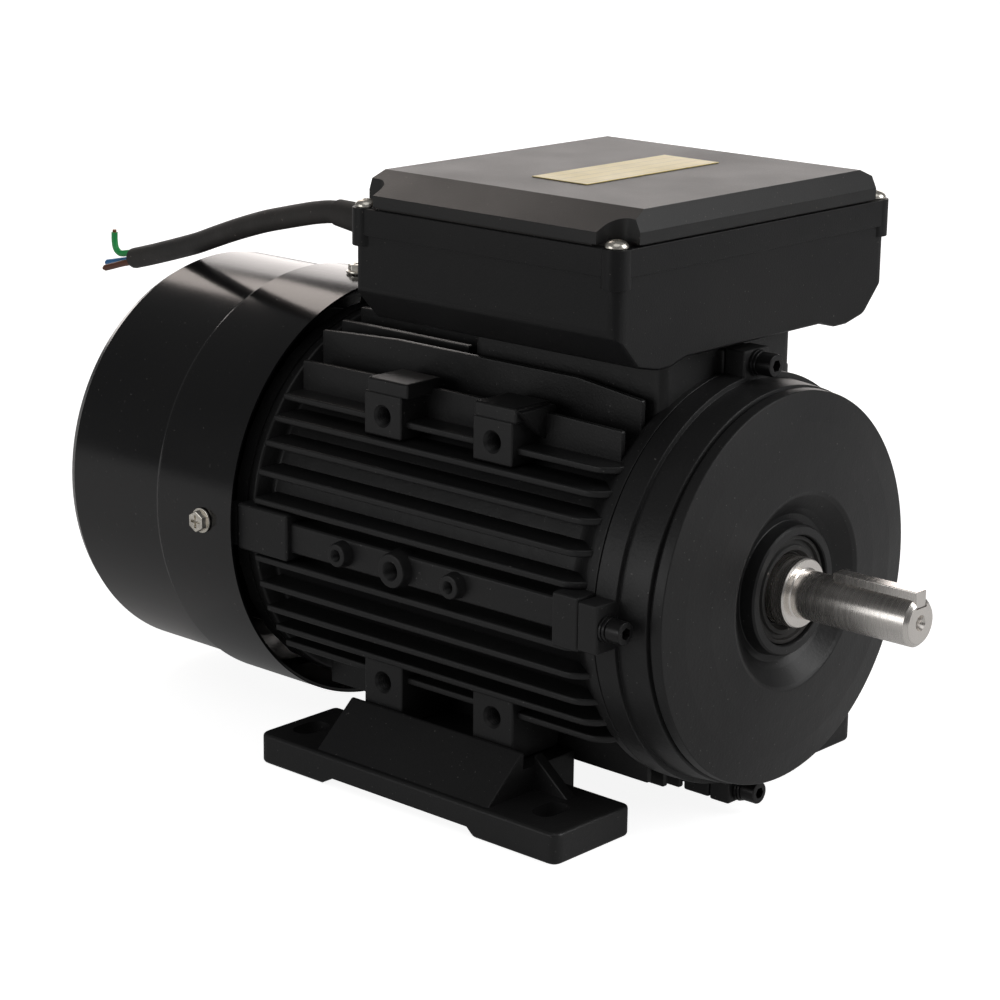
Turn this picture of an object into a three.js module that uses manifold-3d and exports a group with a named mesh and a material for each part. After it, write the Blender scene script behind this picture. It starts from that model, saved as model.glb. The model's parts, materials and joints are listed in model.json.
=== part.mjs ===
// Single-phase electric motor, foot mounted, with a fan cowl, a capacitor box and a mains lead.
// Units are millimetres. X runs along the shaft (drive end at +X), Z is up, and the origin lies
// on the surface that the feet stand on, midway between the cowl's rear face and the shaft's tip.
import * as THREE from 'three';
import { mergeVertices } from 'three/addons/utils/BufferGeometryUtils.js';
import Module from 'manifold-3d';

const wasm = await Module();
wasm.setup();

// ---- driving dimensions -------------------------------------------------------------------
const SHAFT_HEIGHT = 90;
const HALF_LENGTH = 181;
const GAP = 0.3;
const ROUND = 28;
const SMALL_ROUND = 20;

const HOUSING = { rear: -80, front: 96.5, bore: 65, wall: 70.5, flange: 77.5 };
const FIN = { rear: -72, front: 93.5, radius: 82, thickness: 2.6, heights: [11.5, 22.5, 33.3, 42.3, 50] };
const UPRIGHT_FIN = { bottomSpacing: 9.5, topSpacing: 10.6, topFront: -4 };
const TOP_PLATE = { front: 88.5, thickness: 2.4, inner: 42.4, outer: 53.2, innerTop: 165.3, outerTop: 153.2 };
const PAD = { x: [-15, 41.2], offset: 52.3, face: 68, halfWidth: 10, inner: 41.5, top: 49 };
const PAD_HOLE = { radius: 3.4, depth: 15, boltRadius: 4.1 };
const UPPER_PAD = { x: [-15.6, 39.5], halfWidth: 9.6, inner: 44, bottom: 134.2, top: 150.5 };
const PAD_CAP = { bottom: 150.5, top: 156.4, inner: 49, ends: [[-23.5, -2.5], [30.7, 51]] };
const MID_RIB = { bottom: 84, top: 96, reach: 80.5 };
const SHIELD_LUG = { rear: 84.5, reach: 86, halfWide: 10, halfNarrow: 7.5 };
const COWL_LUG = { front: -52, reach: 83, bottom: 80.5, top: 99, screwCircle: 76 };
const PEDESTAL = { rear: 2, front: 94, halfWidth: 38, top: 179.2, wireHole: 14 };
const SIDE_BOSS = { x: [-23.5, 5, 34], radius: [4.5, 6.5, 4.5], hole: [2.1, 3.4, 2.1], reach: 85 };

const FOOT = { rear: -59.7, front: 92.8, outer: 91, inner: 49, thickness: 12.3, seat: 21.7 };
const FOOT_SLOT = { x: [-48.7, 75.3], y: 73.5, width: 10, length: 16 };
const FOOT_WEB = { rear: -30, front: 58, lip: 28.5, lipY: 66 };

const SHIELD_EAR = { rear: 96.8, front: 105.8, reach: 86.5, halfWide: 9, halfNarrow: 7.3 };
const SHIELD_SCREW = { circle: 81.5, shank: 2.5, head: 4.25, headLength: 6.4, washers: 2.2, washer: 5 };
const SEAL = { outer: 20.1, inner: 13.3, rear: 116.2, front: 124.6 };
const BEARING = { bore: 12.5, outer: 26, width: 15, pitch: 19.25, ball: 3.9, balls: 8 };
const FRONT_BEARING_X = 107.8;
const REAR_BEARING_X = -94.6;

const SHAFT = { end: 9, shoulder: 131, collar: 13, rotorSeat: 15, fanSeat: 10, rear: -160 };
const KEY = { rear: 145.2, width: 6, height: 6, depth: 3.5 };
const ROTOR = { rear: -35, front: 70, radius: 41 };
const STATOR = { bore: 41.6, radius: 64.7, slots: 24, slotDepth: 56 };

const COWL = { front: -80, step: -122, radius: 86.5, rearRadius: 84.3, sheet: 1.3 };
const COWL_SCREW_X = -95.5;
const FAN = { hubRear: -150, hubFront: -124, hub: 16, radius: 72, blades: 9, blade: 2.2 };

const BOX = { rear: -20, front: 105.5, halfWidth: 79, bottom: 179.5, top: 222, wall: 3, rim: 212 };
const LID = { bottom: 222.8, crease: 227, top: 234, rear: -18.7, front: 103.1, halfWidth: 63.4 };
const BOX_SCREW = { x: [-16.2, 101.7], y: 75.8, boss: 5.2 };

const GLAND = { y: -40, z: 208, front: -21.3, rear: -47 };
const CABLE_RADIUS = 4.5;
const CORE_RADIUS = 1.4;

// ---- helpers ------------------------------------------------------------------------------
// A closed triangle mesh from three.js as a solid whose faces point outwards.
function solid(geometry) {
  const bare = geometry.clone();
  bare.deleteAttribute('normal');
  bare.deleteAttribute('uv');
  const merged = mergeVertices(bare, 1e-4);
  const points = new Float32Array(merged.attributes.position.array);
  const corners = [];
  let volume = 0;
  const a = new THREE.Vector3();
  const b = new THREE.Vector3();
  const c = new THREE.Vector3();
  for (let i = 0; i < merged.index.count; i += 3) {
    const [p, q, r] = [0, 1, 2].map((k) => merged.index.getX(i + k));
    if (p === q || q === r || r === p) continue;
    corners.push(p, q, r);
    a.fromArray(points, 3 * p);
    b.fromArray(points, 3 * q);
    c.fromArray(points, 3 * r);
    volume += a.dot(b.cross(c));
  }
  if (volume < 0) {
    for (let i = 0; i < corners.length; i += 3) {
      [corners[i], corners[i + 1]] = [corners[i + 1], corners[i]];
    }
  }
  const mesh = new wasm.Mesh({ numProp: 3, vertProperties: points, triVerts: new Uint32Array(corners) });
  return new wasm.Manifold(mesh);
}

function union(solids) {
  return solids.reduce((whole, piece) => whole.add(piece));
}

function cut(whole, solids) {
  return solids.reduce((rest, piece) => rest.subtract(piece), whole);
}

// A body of revolution about the motor's axis from [x, radius] points.
function turned(profile, segments = ROUND) {
  const points = profile.map(([x, radius]) => new THREE.Vector2(radius, x));
  const onAxis = profile[0][1] === 0 && profile.at(-1)[1] === 0;
  if (!onAxis) points.push(points[0].clone());
  const geometry = new THREE.LatheGeometry(points, segments);
  return solid(geometry.rotateZ(-Math.PI / 2).translate(0, 0, SHAFT_HEIGHT));
}

function ring(x0, x1, inner, outer, segments = ROUND) {
  return turned([[x0, inner], [x0, outer], [x1, outer], [x1, inner]], segments);
}

function box(x0, x1, y0, y1, z0, z1) {
  const geometry = new THREE.BoxGeometry(Math.abs(x1 - x0), Math.abs(y1 - y0), Math.abs(z1 - z0));
  return solid(geometry.translate((x0 + x1) / 2, (y0 + y1) / 2, (z0 + z1) / 2));
}

// A round bar between two points.
function bar(from, to, radius, segments = 16, endRadius = radius) {
  const start = new THREE.Vector3(...from);
  const run = new THREE.Vector3(...to).sub(start);
  const geometry = new THREE.CylinderGeometry(endRadius, radius, run.length(), segments);
  geometry.translate(0, run.length() / 2, 0);
  const turn = new THREE.Quaternion().setFromUnitVectors(new THREE.Vector3(0, 1, 0), run.normalize());
  return solid(geometry.applyQuaternion(turn).translate(...from));
}

function shapeOf(points) {
  return new THREE.Shape(points.map(([u, v]) => new THREE.Vector2(u, v)));
}

// An outline in the XY plane carried upwards from z0 to z1.
function plateZ(points, z0, z1) {
  const geometry = new THREE.ExtrudeGeometry(shapeOf(points), { depth: z1 - z0, bevelEnabled: false });
  return solid(geometry.translate(0, 0, z0));
}

// An outline in the YZ plane carried along X from x0 to x1.
function plateX(points, x0, x1) {
  const geometry = new THREE.ExtrudeGeometry(shapeOf(points), { depth: x1 - x0, bevelEnabled: false });
  const basis = new THREE.Matrix4().set(0, 0, 1, x0, 1, 0, 0, 0, 0, 1, 0, 0, 0, 0, 0, 1);
  return solid(geometry.applyMatrix4(basis));
}

// An outline in the XZ plane carried along Y from y0 to y1.
function plateY(points, y0, y1) {
  const geometry = new THREE.ExtrudeGeometry(shapeOf(points), { depth: y1 - y0, bevelEnabled: false });
  const basis = new THREE.Matrix4().set(1, 0, 0, 0, 0, 0, -1, y1, 0, 1, 0, 0, 0, 0, 0, 1);
  return solid(geometry.applyMatrix4(basis));
}

// The same solid turned about the motor's axis.
function aroundAxis(piece, degrees) {
  return piece.translate([0, 0, -SHAFT_HEIGHT]).rotate([degrees, 0, 0]).translate([0, 0, SHAFT_HEIGHT]);
}

function circleDepth(radius, offset) {
  return Math.sqrt(radius * radius - offset * offset);
}

const motor = new THREE.Group();

function addMesh(name, shape, material) {
  const mesh = shape.getMesh();
  const geometry = new THREE.BufferGeometry();
  geometry.setAttribute('position', new THREE.BufferAttribute(new Float32Array(mesh.vertProperties), 3));
  geometry.setIndex(new THREE.BufferAttribute(new Uint32Array(mesh.triVerts), 1));
  const node = new THREE.Mesh(geometry, new THREE.MeshStandardMaterial(material));
  node.name = name;
  motor.add(node);
}

// ---- finishes -----------------------------------------------------------------------------
const BLACK_PAINT = { color: 0x141416, roughness: 0.42, metalness: 0.1 };
const GLOSS_SHEET = { color: 0x0c0c0e, roughness: 0.2, metalness: 0.2 };
const BLACK_PLASTIC = { color: 0x17171a, roughness: 0.55, metalness: 0 };
const BLACK_RUBBER = { color: 0x1b1b1b, roughness: 0.85, metalness: 0 };
const BRIGHT_STEEL = { color: 0xb9b6b0, roughness: 0.28, metalness: 1 };
const BLACK_STEEL = { color: 0x1d1d1f, roughness: 0.4, metalness: 0.8 };
const ZINC_STEEL = { color: 0xc9c5b6, roughness: 0.3, metalness: 1 };
const CORE_STEEL = { color: 0x6e7072, roughness: 0.5, metalness: 0.9 };
const COPPER = { color: 0x8a4a24, roughness: 0.45, metalness: 0.7 };
const ALUMINIUM = { color: 0xa9abad, roughness: 0.4, metalness: 0.9 };
const GOLD_FOIL = { color: 0xcdbd86, roughness: 0.35, metalness: 0.5 };

// ---- housing ------------------------------------------------------------------------------
const SIDES = [-1, 1];
const QUARTERS = [0, 90, 180, 270];

function sideFin(side, height) {
  const inner = circleDepth(HOUSING.wall - 1.5, height);
  const outer = circleDepth(FIN.radius, height);
  const tip = FIN.front;
  const outline = [[FIN.rear, inner], [FIN.rear, outer], [tip - 7, outer], [tip - 3, outer - 1.6],
    [tip - 0.8, outer - 4.5], [tip, inner]];
  const z = SHAFT_HEIGHT + height - FIN.thickness / 2;
  return plateZ(outline.map(([x, y]) => [x, side * y]), z, z + FIN.thickness);
}

function uprightFin(y, up, front) {
  const inner = circleDepth(HOUSING.wall - 1.5, y);
  const outer = circleDepth(FIN.radius, y);
  const [z0, z1] = up ? [inner, outer] : [-outer, -inner];
  const half = FIN.thickness / 2;
  return box(FIN.rear, front, y - half, y + half, SHAFT_HEIGHT + z0, SHAFT_HEIGHT + z1);
}

// The two tall plates between the side fins and the pedestal: the outer one stands on a side fin.
function topPlates(side) {
  const half = TOP_PLATE.thickness / 2;
  const drum = SHAFT_HEIGHT + circleDepth(HOUSING.wall - 1.5, TOP_PLATE.inner);
  const topFin = SHAFT_HEIGHT + FIN.heights.at(-1);
  return [[TOP_PLATE.inner, drum, TOP_PLATE.innerTop, 3.6], [TOP_PLATE.outer, topFin, TOP_PLATE.outerTop, 0.8]]
    .map(([offset, foot, top, fall]) => {
      const outline = [[FIN.rear, foot], [FIN.rear, top - fall * 0.6], [FIN.rear + 40, top],
        [TOP_PLATE.front - 30, top], [TOP_PLATE.front, top - fall], [TOP_PLATE.front, foot]];
      return plateY(outline, side * offset - half, side * offset + half);
    });
}

function lowerPad(x, side) {
  const low = SHAFT_HEIGHT - PAD.face;
  const z = SHAFT_HEIGHT - PAD.offset;
  const y = side * PAD.face;
  const bolt = side * PAD.offset;
  return {
    bodies: [box(x - PAD.halfWidth, x + PAD.halfWidth, side * PAD.inner, y, low, PAD.top)],
    holes: [
      bar([x, y + side, z], [x, y - side * PAD_HOLE.depth, z], PAD_HOLE.radius, 12),
      bar([x, bolt, low - 1], [x, bolt, low + PAD_HOLE.depth], PAD_HOLE.boltRadius, 12),
    ],
  };
}

function upperPad(index, side) {
  const x = UPPER_PAD.x[index];
  const [capRear, capFront] = PAD_CAP.ends[index];
  const y = side * PAD.face;
  const z = SHAFT_HEIGHT + PAD.offset;
  const bodies = [
    box(x - UPPER_PAD.halfWidth, x + UPPER_PAD.halfWidth, side * UPPER_PAD.inner, y, UPPER_PAD.bottom,
      UPPER_PAD.top),
    box(capRear, capFront, side * PAD_CAP.inner, y, PAD_CAP.bottom - 0.5, PAD_CAP.top),
  ];
  if (index === 1) {
    const web = [[PAD.face, PAD_CAP.top - 1], [PAD_CAP.inner, PAD_CAP.top - 1], [PAD_CAP.inner, 140],
      [53.5, 143], [58, 146]];
    bodies.push(plateX(web.map(([u, v]) => [side * u, v]), UPPER_PAD.x[1], capFront + 2.5));
  }
  return { bodies, holes: [bar([x, y + side, z], [x, y - side * PAD_HOLE.depth, z], PAD_HOLE.radius, 12)] };
}

function makeHousing() {
  const { rear, front, bore, wall, flange } = HOUSING;
  const walls = [
    ring(rear, front, bore - 1, wall),
    ring(front - 2.5, front, bore - 1, flange),
    ring(rear, rear + 3.5, bore - 1, flange),
    box(PEDESTAL.rear, PEDESTAL.front, -PEDESTAL.halfWidth, PEDESTAL.halfWidth, 135, PEDESTAL.top),
  ];
  const holes = [
    ring(rear - 1, front + 1, 0, bore),
    bar([48, 0, 150], [48, 0, PEDESTAL.top + 1], PEDESTAL.wireHole, 20),
  ];
  for (const side of SIDES) {
    for (const height of FIN.heights) walls.push(sideFin(side, height), sideFin(side, -height));
    walls.push(...topPlates(side));
    walls.push(box(FIN.rear, FIN.front - 1, side * 66, side * MID_RIB.reach, MID_RIB.bottom, MID_RIB.top));
    SIDE_BOSS.x.forEach((x, i) => {
      walls.push(bar([x, side * 78, 90], [x, side * SIDE_BOSS.reach, 90], SIDE_BOSS.radius[i], 16));
      holes.push(bar([x, side * 86, 90], [x, side * 73, 90], SIDE_BOSS.hole[i], 10));
    });
    for (const index of [0, 1]) {
      for (const pad of [lowerPad(PAD.x[index], side), upperPad(index, side)]) {
        walls.push(...pad.bodies);
        holes.push(...pad.holes);
      }
    }
  }
  for (let n = -4; n <= 4; n += 1) {
    walls.push(uprightFin(n * UPRIGHT_FIN.bottomSpacing, false, FIN.front - 1));
  }
  for (let n = -3; n <= 3; n += 1) {
    walls.push(uprightFin(n * UPRIGHT_FIN.topSpacing, true, UPRIGHT_FIN.topFront));
  }
  for (const angle of QUARTERS) {
    const half = angle % 180 === 0 ? SHIELD_LUG.halfWide : SHIELD_LUG.halfNarrow;
    const frontLug = box(SHIELD_LUG.rear, front, 66, SHIELD_LUG.reach, 90 - half, 90 + half);
    const rearLug = box(rear + 0.5, COWL_LUG.front, 66, COWL_LUG.reach, COWL_LUG.bottom, COWL_LUG.top);
    const frontHole = bar([83, SHIELD_SCREW.circle, 90], [98, SHIELD_SCREW.circle, 90], 2.8, 12);
    const rearHole = bar([rear - 1, COWL_LUG.screwCircle, 90], [-60, COWL_LUG.screwCircle, 90], 2.8, 12);
    walls.push(aroundAxis(frontLug, angle), aroundAxis(rearLug, angle));
    holes.push(aroundAxis(frontHole, angle), aroundAxis(rearHole, angle));
  }
  return cut(union(walls), holes);
}

// ---- feet ---------------------------------------------------------------------------------
function makeFoot(side) {
  const flip = ([y, z]) => [side * y, z];
  const pad = plateZ([
    [FOOT.rear, FOOT.inner], [FOOT.rear, FOOT.outer - 4], [FOOT.rear + 4, FOOT.outer],
    [FOOT.front - 4, FOOT.outer], [FOOT.front, FOOT.outer - 4], [FOOT.front, FOOT.inner],
  ].map(([x, y]) => [x, side * y]), 0, FOOT.thickness);
  const web = plateX([
    [FOOT.outer - 1.5, 4], [FOOT.outer - 1.5, FOOT.thickness - 0.5], [FOOT_WEB.lipY + 4, FOOT_WEB.lip],
    [FOOT_WEB.lipY + 2.8, FOOT_WEB.lip], [FOOT_WEB.lipY + 2.8, FOOT.seat], [40, FOOT.seat], [40, 4],
  ].map(flip), FOOT_WEB.rear, FOOT_WEB.front);
  const ribs = [
    plateY([[FOOT_WEB.front - 1, 4], [FOOT_WEB.front + 16, 4], [FOOT_WEB.front + 16, FOOT.thickness],
      [FOOT_WEB.front - 1, FOOT.seat]], side * 54 - 2, side * 54 + 2),
    plateY([[FOOT_WEB.rear + 1, 4], [FOOT_WEB.rear - 14, 4], [FOOT_WEB.rear - 14, FOOT.thickness],
      [FOOT_WEB.rear + 1, FOOT.seat]], side * 54 - 2, side * 54 + 2),
  ];
  const relief = plateY([[-26, -1], [-26, 0], [-20, 3.6], [50, 3.6], [54, 0], [54, -1]], -100, 100);
  const holes = [relief];
  for (const x of FOOT_SLOT.x) {
    const half = (FOOT_SLOT.length - FOOT_SLOT.width) / 2;
    const radius = FOOT_SLOT.width / 2;
    const y = side * FOOT_SLOT.y;
    holes.push(box(x - radius, x + radius, y - half, y + half, -1, 20));
    holes.push(bar([x, y - half, -1], [x, y - half, 20], radius, 16));
    holes.push(bar([x, y + half, -1], [x, y + half, 20], radius, 16));
  }
  for (const x of PAD.x) {
    const y = side * PAD.offset;
    holes.push(bar([x, y, -1], [x, y, 30], 4.6, 16), bar([x, y, -1], [x, y, 12], 8, 16));
  }
  return cut(union([pad, web, ...ribs]), holes);
}

// ---- end shields --------------------------------------------------------------------------
function makeDriveEndShield() {
  const profile = [
    [90, 60], [90, 64.6], [96.8, 64.6], [96.8, 77.5], [105.8, 77.2], [105.8, 75.3], [118, 74.2],
    [118.2, 73.2], [119.2, 73.2], [123.4, 73.2], [126.2, 55], [128, 36.5], [126.8, 34.5], [121.4, 27.5],
    [120.6, 24.6], [126, 23.9], [126.2, 20.5], [115.6, 20.5], [115.6, 26.2], [100, 26.2], [100, 32],
    [116, 38], [114, 66], [98, 62],
  ];
  const walls = [turned(profile)];
  const holes = [];
  for (const angle of QUARTERS) {
    const half = angle % 180 === 0 ? SHIELD_EAR.halfWide : SHIELD_EAR.halfNarrow;
    const ear = box(SHIELD_EAR.rear, SHIELD_EAR.front, 74, SHIELD_EAR.reach, 90 - half, 90 + half);
    const hole = bar([96, SHIELD_SCREW.circle, 90], [107, SHIELD_SCREW.circle, 90], 2.9, 12);
    walls.push(aroundAxis(ear, angle));
    holes.push(aroundAxis(hole, angle));
  }
  return cut(union(walls), holes);
}

function makeRearEndShield() {
  const profile = [
    [-74, 60.6], [-74, 64.6], [-80.3, 64.6], [-80.3, 78], [-86, 78], [-104.5, 36],
    [-104.5, 14], [-102.6, 14], [-102.6, 26.2], [-86.6, 26.2], [-86.6, 31.5], [-86, 58],
  ];
  const holes = QUARTERS.flatMap((angle) => [
    aroundAxis(bar([-70, 76, 90], [-95, 76, 90], 2.9, 8), angle),
    aroundAxis(bar([-86, 76, 90], [-99, 76, 90], 5.2, 12), angle),
  ]);
  const ears = QUARTERS.map((angle) => aroundAxis(box(-86, -80.3, 68, 82.5, 82, 98), angle));
  return cut(union([turned(profile), ...ears]), holes);
}

// A socket-head screw on two stacked washers, along +X.
function makeShieldScrew(angle) {
  const { circle, shank, head, headLength, washers, washer } = SHIELD_SCREW;
  const face = SHIELD_EAR.front + GAP;
  const seat = face + washers;
  const front = seat + headLength;
  const shape = cut(union([
    bar([86, circle, 90], [seat + 1, circle, 90], shank, 8),
    bar([face, circle, 90], [seat + 0.1, circle, 90], washer, 12),
    bar([seat, circle, 90], [front, circle, 90], head, 12),
  ]), [bar([front - 2.6, circle, 90], [front + 1, circle, 90], 2.3, 6)]);
  return aroundAxis(shape, angle);
}

function makeRearShieldScrew(angle) {
  const shape = union([
    bar([-86.3 - 4, 76, 90], [-86.3, 76, 90], 4.25, 12),
    bar([-87, 76, 90], [-63, 76, 90], 2.4, 8),
  ]);
  return aroundAxis(shape, angle);
}

// ---- rotor, bearings and stator --------------------------------------------------------------
function makeShaft() {
  const profile = [
    [SHAFT.rear, 0], [SHAFT.rear, 9], [SHAFT.rear + 1, SHAFT.fanSeat], [-152.4, SHAFT.fanSeat],
    [-152.4, 9.2], [-150.3, 9.2], [-150.3, SHAFT.fanSeat], [-105, SHAFT.fanSeat],
    [-104.5, BEARING.bore - 0.15], [-86.8, BEARING.bore - 0.15], [-86.5, SHAFT.rotorSeat],
    [99.6, SHAFT.rotorSeat], [100, BEARING.bore - 0.15], [115.8, BEARING.bore - 0.15],
    [116, SHAFT.collar], [SHAFT.shoulder - 0.8, SHAFT.collar], [SHAFT.shoulder, SHAFT.collar - 0.8],
    [SHAFT.shoulder, SHAFT.end], [HALF_LENGTH - 1.3, SHAFT.end], [HALF_LENGTH, SHAFT.end - 1.3],
    [HALF_LENGTH, 2.8], [178.6, 1.7], [171, 1.7], [170, 0],
  ];
  const keyway = box(KEY.rear - GAP, HALF_LENGTH + 1, -KEY.width / 2 - 0.15, KEY.width / 2 + 0.15,
    SHAFT_HEIGHT + SHAFT.end - KEY.depth, SHAFT_HEIGHT + SHAFT.end + 5);
  return turned(profile, SMALL_ROUND).subtract(keyway);
}

function makeKey() {
  const base = SHAFT_HEIGHT + SHAFT.end - KEY.depth + GAP / 2;
  const half = KEY.width / 2;
  return plateZ([
    [KEY.rear + 0.8, -half], [KEY.rear, -half + 0.8], [KEY.rear, half - 0.8], [KEY.rear + 0.8, half],
    [HALF_LENGTH - 0.8, half], [HALF_LENGTH - 0.2, half - 0.6], [HALF_LENGTH - 0.2, -half + 0.6],
    [HALF_LENGTH - 0.8, -half],
  ], base, base + KEY.height);
}

function makeRotor() {
  const profile = [
    [ROTOR.rear - 9, 26], [ROTOR.rear - 9, 38], [ROTOR.rear, 39], [ROTOR.rear, ROTOR.radius],
    [ROTOR.front, ROTOR.radius], [ROTOR.front, 39], [ROTOR.front + 9, 38], [ROTOR.front + 9, 26],
    [ROTOR.front, 25], [ROTOR.front, SHAFT.rotorSeat + 0.15],
    [ROTOR.rear, SHAFT.rotorSeat + 0.15], [ROTOR.rear, 25],
  ];
  return turned(profile);
}

function makeStator() {
  const slots = [];
  for (let n = 0; n < STATOR.slots; n += 1) {
    const slot = box(ROTOR.rear - 1, ROTOR.front + 1, 40, STATOR.slotDepth, 90 - 1.8, 90 + 1.8);
    slots.push(aroundAxis(slot, (n + 0.5) * (360 / STATOR.slots)));
  }
  return cut(ring(ROTOR.rear, ROTOR.front, STATOR.bore, STATOR.radius), slots);
}

function makeWinding(x, out) {
  const rise = [[0.4, 46], [0.4, 58], [9, 61], [18, 57], [18, 48], [8, 45]];
  return turned(rise.map(([dx, radius]) => [x + out * dx, radius]), SMALL_ROUND);
}

function bearingRing(x, inner, outer, grooveRadius, grooveOutside) {
  const half = BEARING.width / 2;
  const groove = [[-3, 0], [0, 1.4], [3, 0]];
  const side = grooveOutside ? outer : inner;
  const other = grooveOutside ? inner : outer;
  const bite = grooveOutside ? -grooveRadius : grooveRadius;
  const points = [[x - half, other], [x - half, side]];
  for (const [dx, depth] of groove) points.push([x + dx, side + bite * depth]);
  points.push([x + half, side], [x + half, other]);
  return turned(points, SMALL_ROUND);
}

function makeBallCage(x) {
  const pieces = [ring(x - 1.1, x + 1.1, BEARING.pitch - 0.8, BEARING.pitch + 0.8, SMALL_ROUND)];
  for (let n = 0; n < BEARING.balls; n += 1) {
    const ball = solid(new THREE.SphereGeometry(BEARING.ball, 6, 4).translate(x, BEARING.pitch, SHAFT_HEIGHT));
    pieces.push(aroundAxis(ball, (n * 360) / BEARING.balls));
  }
  return union(pieces);
}

function makeCentrifugalActuator() {
  const spool = turned([[-78, 15.2], [-78, 26], [-75.5, 26], [-75.5, 18], [-64, 18], [-64, 32], [-61, 32],
    [-61, 15.2]], SMALL_ROUND);
  const weights = [0, 180].map((angle) => aroundAxis(box(-74, -63.5, 17, 34, 78, 102), angle));
  return cut(union([spool, ...weights]), [ring(-80, -55, 0, 15.2, SMALL_ROUND)]);
}

function makeSwitchPlate() {
  const board = ring(-84.6, -82.6, 30, 56, 32).intersect(box(-90, -70, -60, 60, 96, 160));
  const contacts = box(-82.8, -80.4, -9, 9, 124, 140);
  return union([board, contacts]);
}

// ---- cooling ------------------------------------------------------------------------------
function makeFan() {
  const hub = ring(FAN.hubRear, FAN.hubFront, SHAFT.fanSeat + 0.15, FAN.hub, SMALL_ROUND);
  const disc = ring(FAN.hubFront - 2.4, FAN.hubFront, FAN.hub - 1, FAN.radius - 4, SMALL_ROUND);
  const blades = [];
  for (let n = 0; n < FAN.blades; n += 1) {
    const blade = plateZ([[FAN.hubFront - 1, FAN.hub - 2], [FAN.hubFront - 1, FAN.radius - 4],
      [FAN.hubFront - 6, FAN.radius], [FAN.hubRear + 4, FAN.radius], [FAN.hubRear, FAN.radius - 8],
      [FAN.hubRear + 2, FAN.hub - 2]], 90 - FAN.blade / 2, 90 + FAN.blade / 2);
    blades.push(aroundAxis(blade, (n * 360) / FAN.blades));
  }
  const bore = ring(FAN.hubRear - 1, FAN.hubFront + 1, 0, SHAFT.fanSeat + 0.15, SMALL_ROUND);
  return cut(union([hub, disc, ...blades]), [bore]);
}

function makeCirclip() {
  const gapCut = box(-153, -150, -1.5, 1.5, 90, 110);
  return cut(ring(-152.1, -150.6, 9.4, 13, 24), [gapCut]);
}

function makeCowl() {
  const { front, step, radius, rearRadius, sheet } = COWL;
  const back = -HALF_LENGTH;
  const profile = [
    [back, 0], [back, rearRadius - 4], [back + 4, rearRadius],
    [step - 3, rearRadius], [step, radius], [front, radius], [front, radius - sheet],
    [step + 0.4, radius - sheet], [step - 2.6, rearRadius - sheet], [back + 4.4, rearRadius - sheet],
    [back + sheet, rearRadius - 4.5], [back + sheet, 0],
  ];
  const spokes = [];
  for (let n = 0; n < 3; n += 1) {
    spokes.push(aroundAxis(box(back - 2, back + 4, -90, 90, 90 - 2.5, 90 + 2.5), n * 60));
  }
  const slots = [[24, 36], [42, 54], [60, 72]].map(([inner, outer]) => (
    ring(back - 1, back + 3, inner, outer, SMALL_ROUND)));
  const windows = cut(union(slots), spokes);
  const screwHoles = QUARTERS.map((angle) => (
    aroundAxis(bar([COWL_SCREW_X, 80, 90], [COWL_SCREW_X, 90, 90], 2.8, 12), angle)));
  return cut(turned(profile), [windows, ...screwHoles]);
}

function makeCowlScrew(angle) {
  const base = COWL.radius + GAP;
  const x = COWL_SCREW_X;
  const shape = cut(union([
    bar([x, 84, 90], [x, base + 1, 90], 2.4, 8),
    bar([x, base, 90], [x, base + 0.8, 90], 5, 12),
    bar([x, base + 0.7, 90], [x, base + 3.6, 90], 4.4, 6),
  ]), [box(x - 3, x + 3, base + 2.6, base + 5, 90 - 0.6, 90 + 0.6)]);
  return aroundAxis(shape, angle);
}

// ---- terminal box ---------------------------------------------------------------------------
function boxSection(inset) {
  const w = BOX.halfWidth - inset;
  const low = BOX.bottom + inset;
  return [
    [-w, BOX.top + (inset > 0 ? 2 : 0)], [-w, 192 + inset * 0.5], [-67 + inset * 0.5, low],
    [-55, low - 2.4], [-50, low - 2.4], [-40, low], [40, low], [50, low - 2.4], [55, low - 2.4],
    [67 - inset * 0.5, low], [w, 192 + inset * 0.5], [w, BOX.top + (inset > 0 ? 2 : 0)],
  ];
}

function roundedPlate(rear, front, half, corner, z0, z1) {
  return plateZ([
    [rear + corner, -half], [front - corner, -half], [front, -half + corner], [front, half - corner],
    [front - corner, half], [rear + corner, half], [rear, half - corner], [rear, -half + corner],
  ], z0, z1);
}

function boxCorners() {
  return BOX_SCREW.x.flatMap((x) => SIDES.map((side) => [x, side * BOX_SCREW.y]));
}

function makeBoxBase() {
  const outer = plateX(boxSection(0), BOX.rear, BOX.front)
    .intersect(roundedPlate(BOX.rear, BOX.front, BOX.halfWidth, 4, 170, 240));
  const rim = roundedPlate(BOX.rear - 1, BOX.front + 1, BOX.halfWidth + 1, 4, BOX.rim, BOX.top);
  const cavity = plateX(boxSection(BOX.wall), BOX.rear + BOX.wall, BOX.front - BOX.wall);
  const bosses = boxCorners().map(([x, y]) => bar([x, y, BOX.rim - 4], [x, y, BOX.top], BOX_SCREW.boss, 16));
  const holes = [
    ...boxCorners().map(([x, y]) => bar([x, y, BOX.rim - 1], [x, y, BOX.top + 1], 2.2, 10)),
    bar([BOX.rear - 2, GLAND.y, GLAND.z], [BOX.rear + 5, GLAND.y, GLAND.z], 8.4, 20),
    bar([48, 0, 170], [48, 0, 190], PEDESTAL.wireHole, 20),
  ];
  return cut(union([cut(union([outer, rim]), [cavity]), ...bosses]), holes);
}

function makeGasket() {
  const outer = roundedPlate(BOX.rear + 0.5, BOX.front - 0.5, BOX.halfWidth - 0.5, 12, BOX.top + 0.1, LID.bottom - 0.1);
  const inner = roundedPlate(BOX.rear + 4, BOX.front - 4, BOX.halfWidth - 4, 12, BOX.top - 1, LID.bottom + 1);
  return outer.subtract(inner);
}

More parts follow.
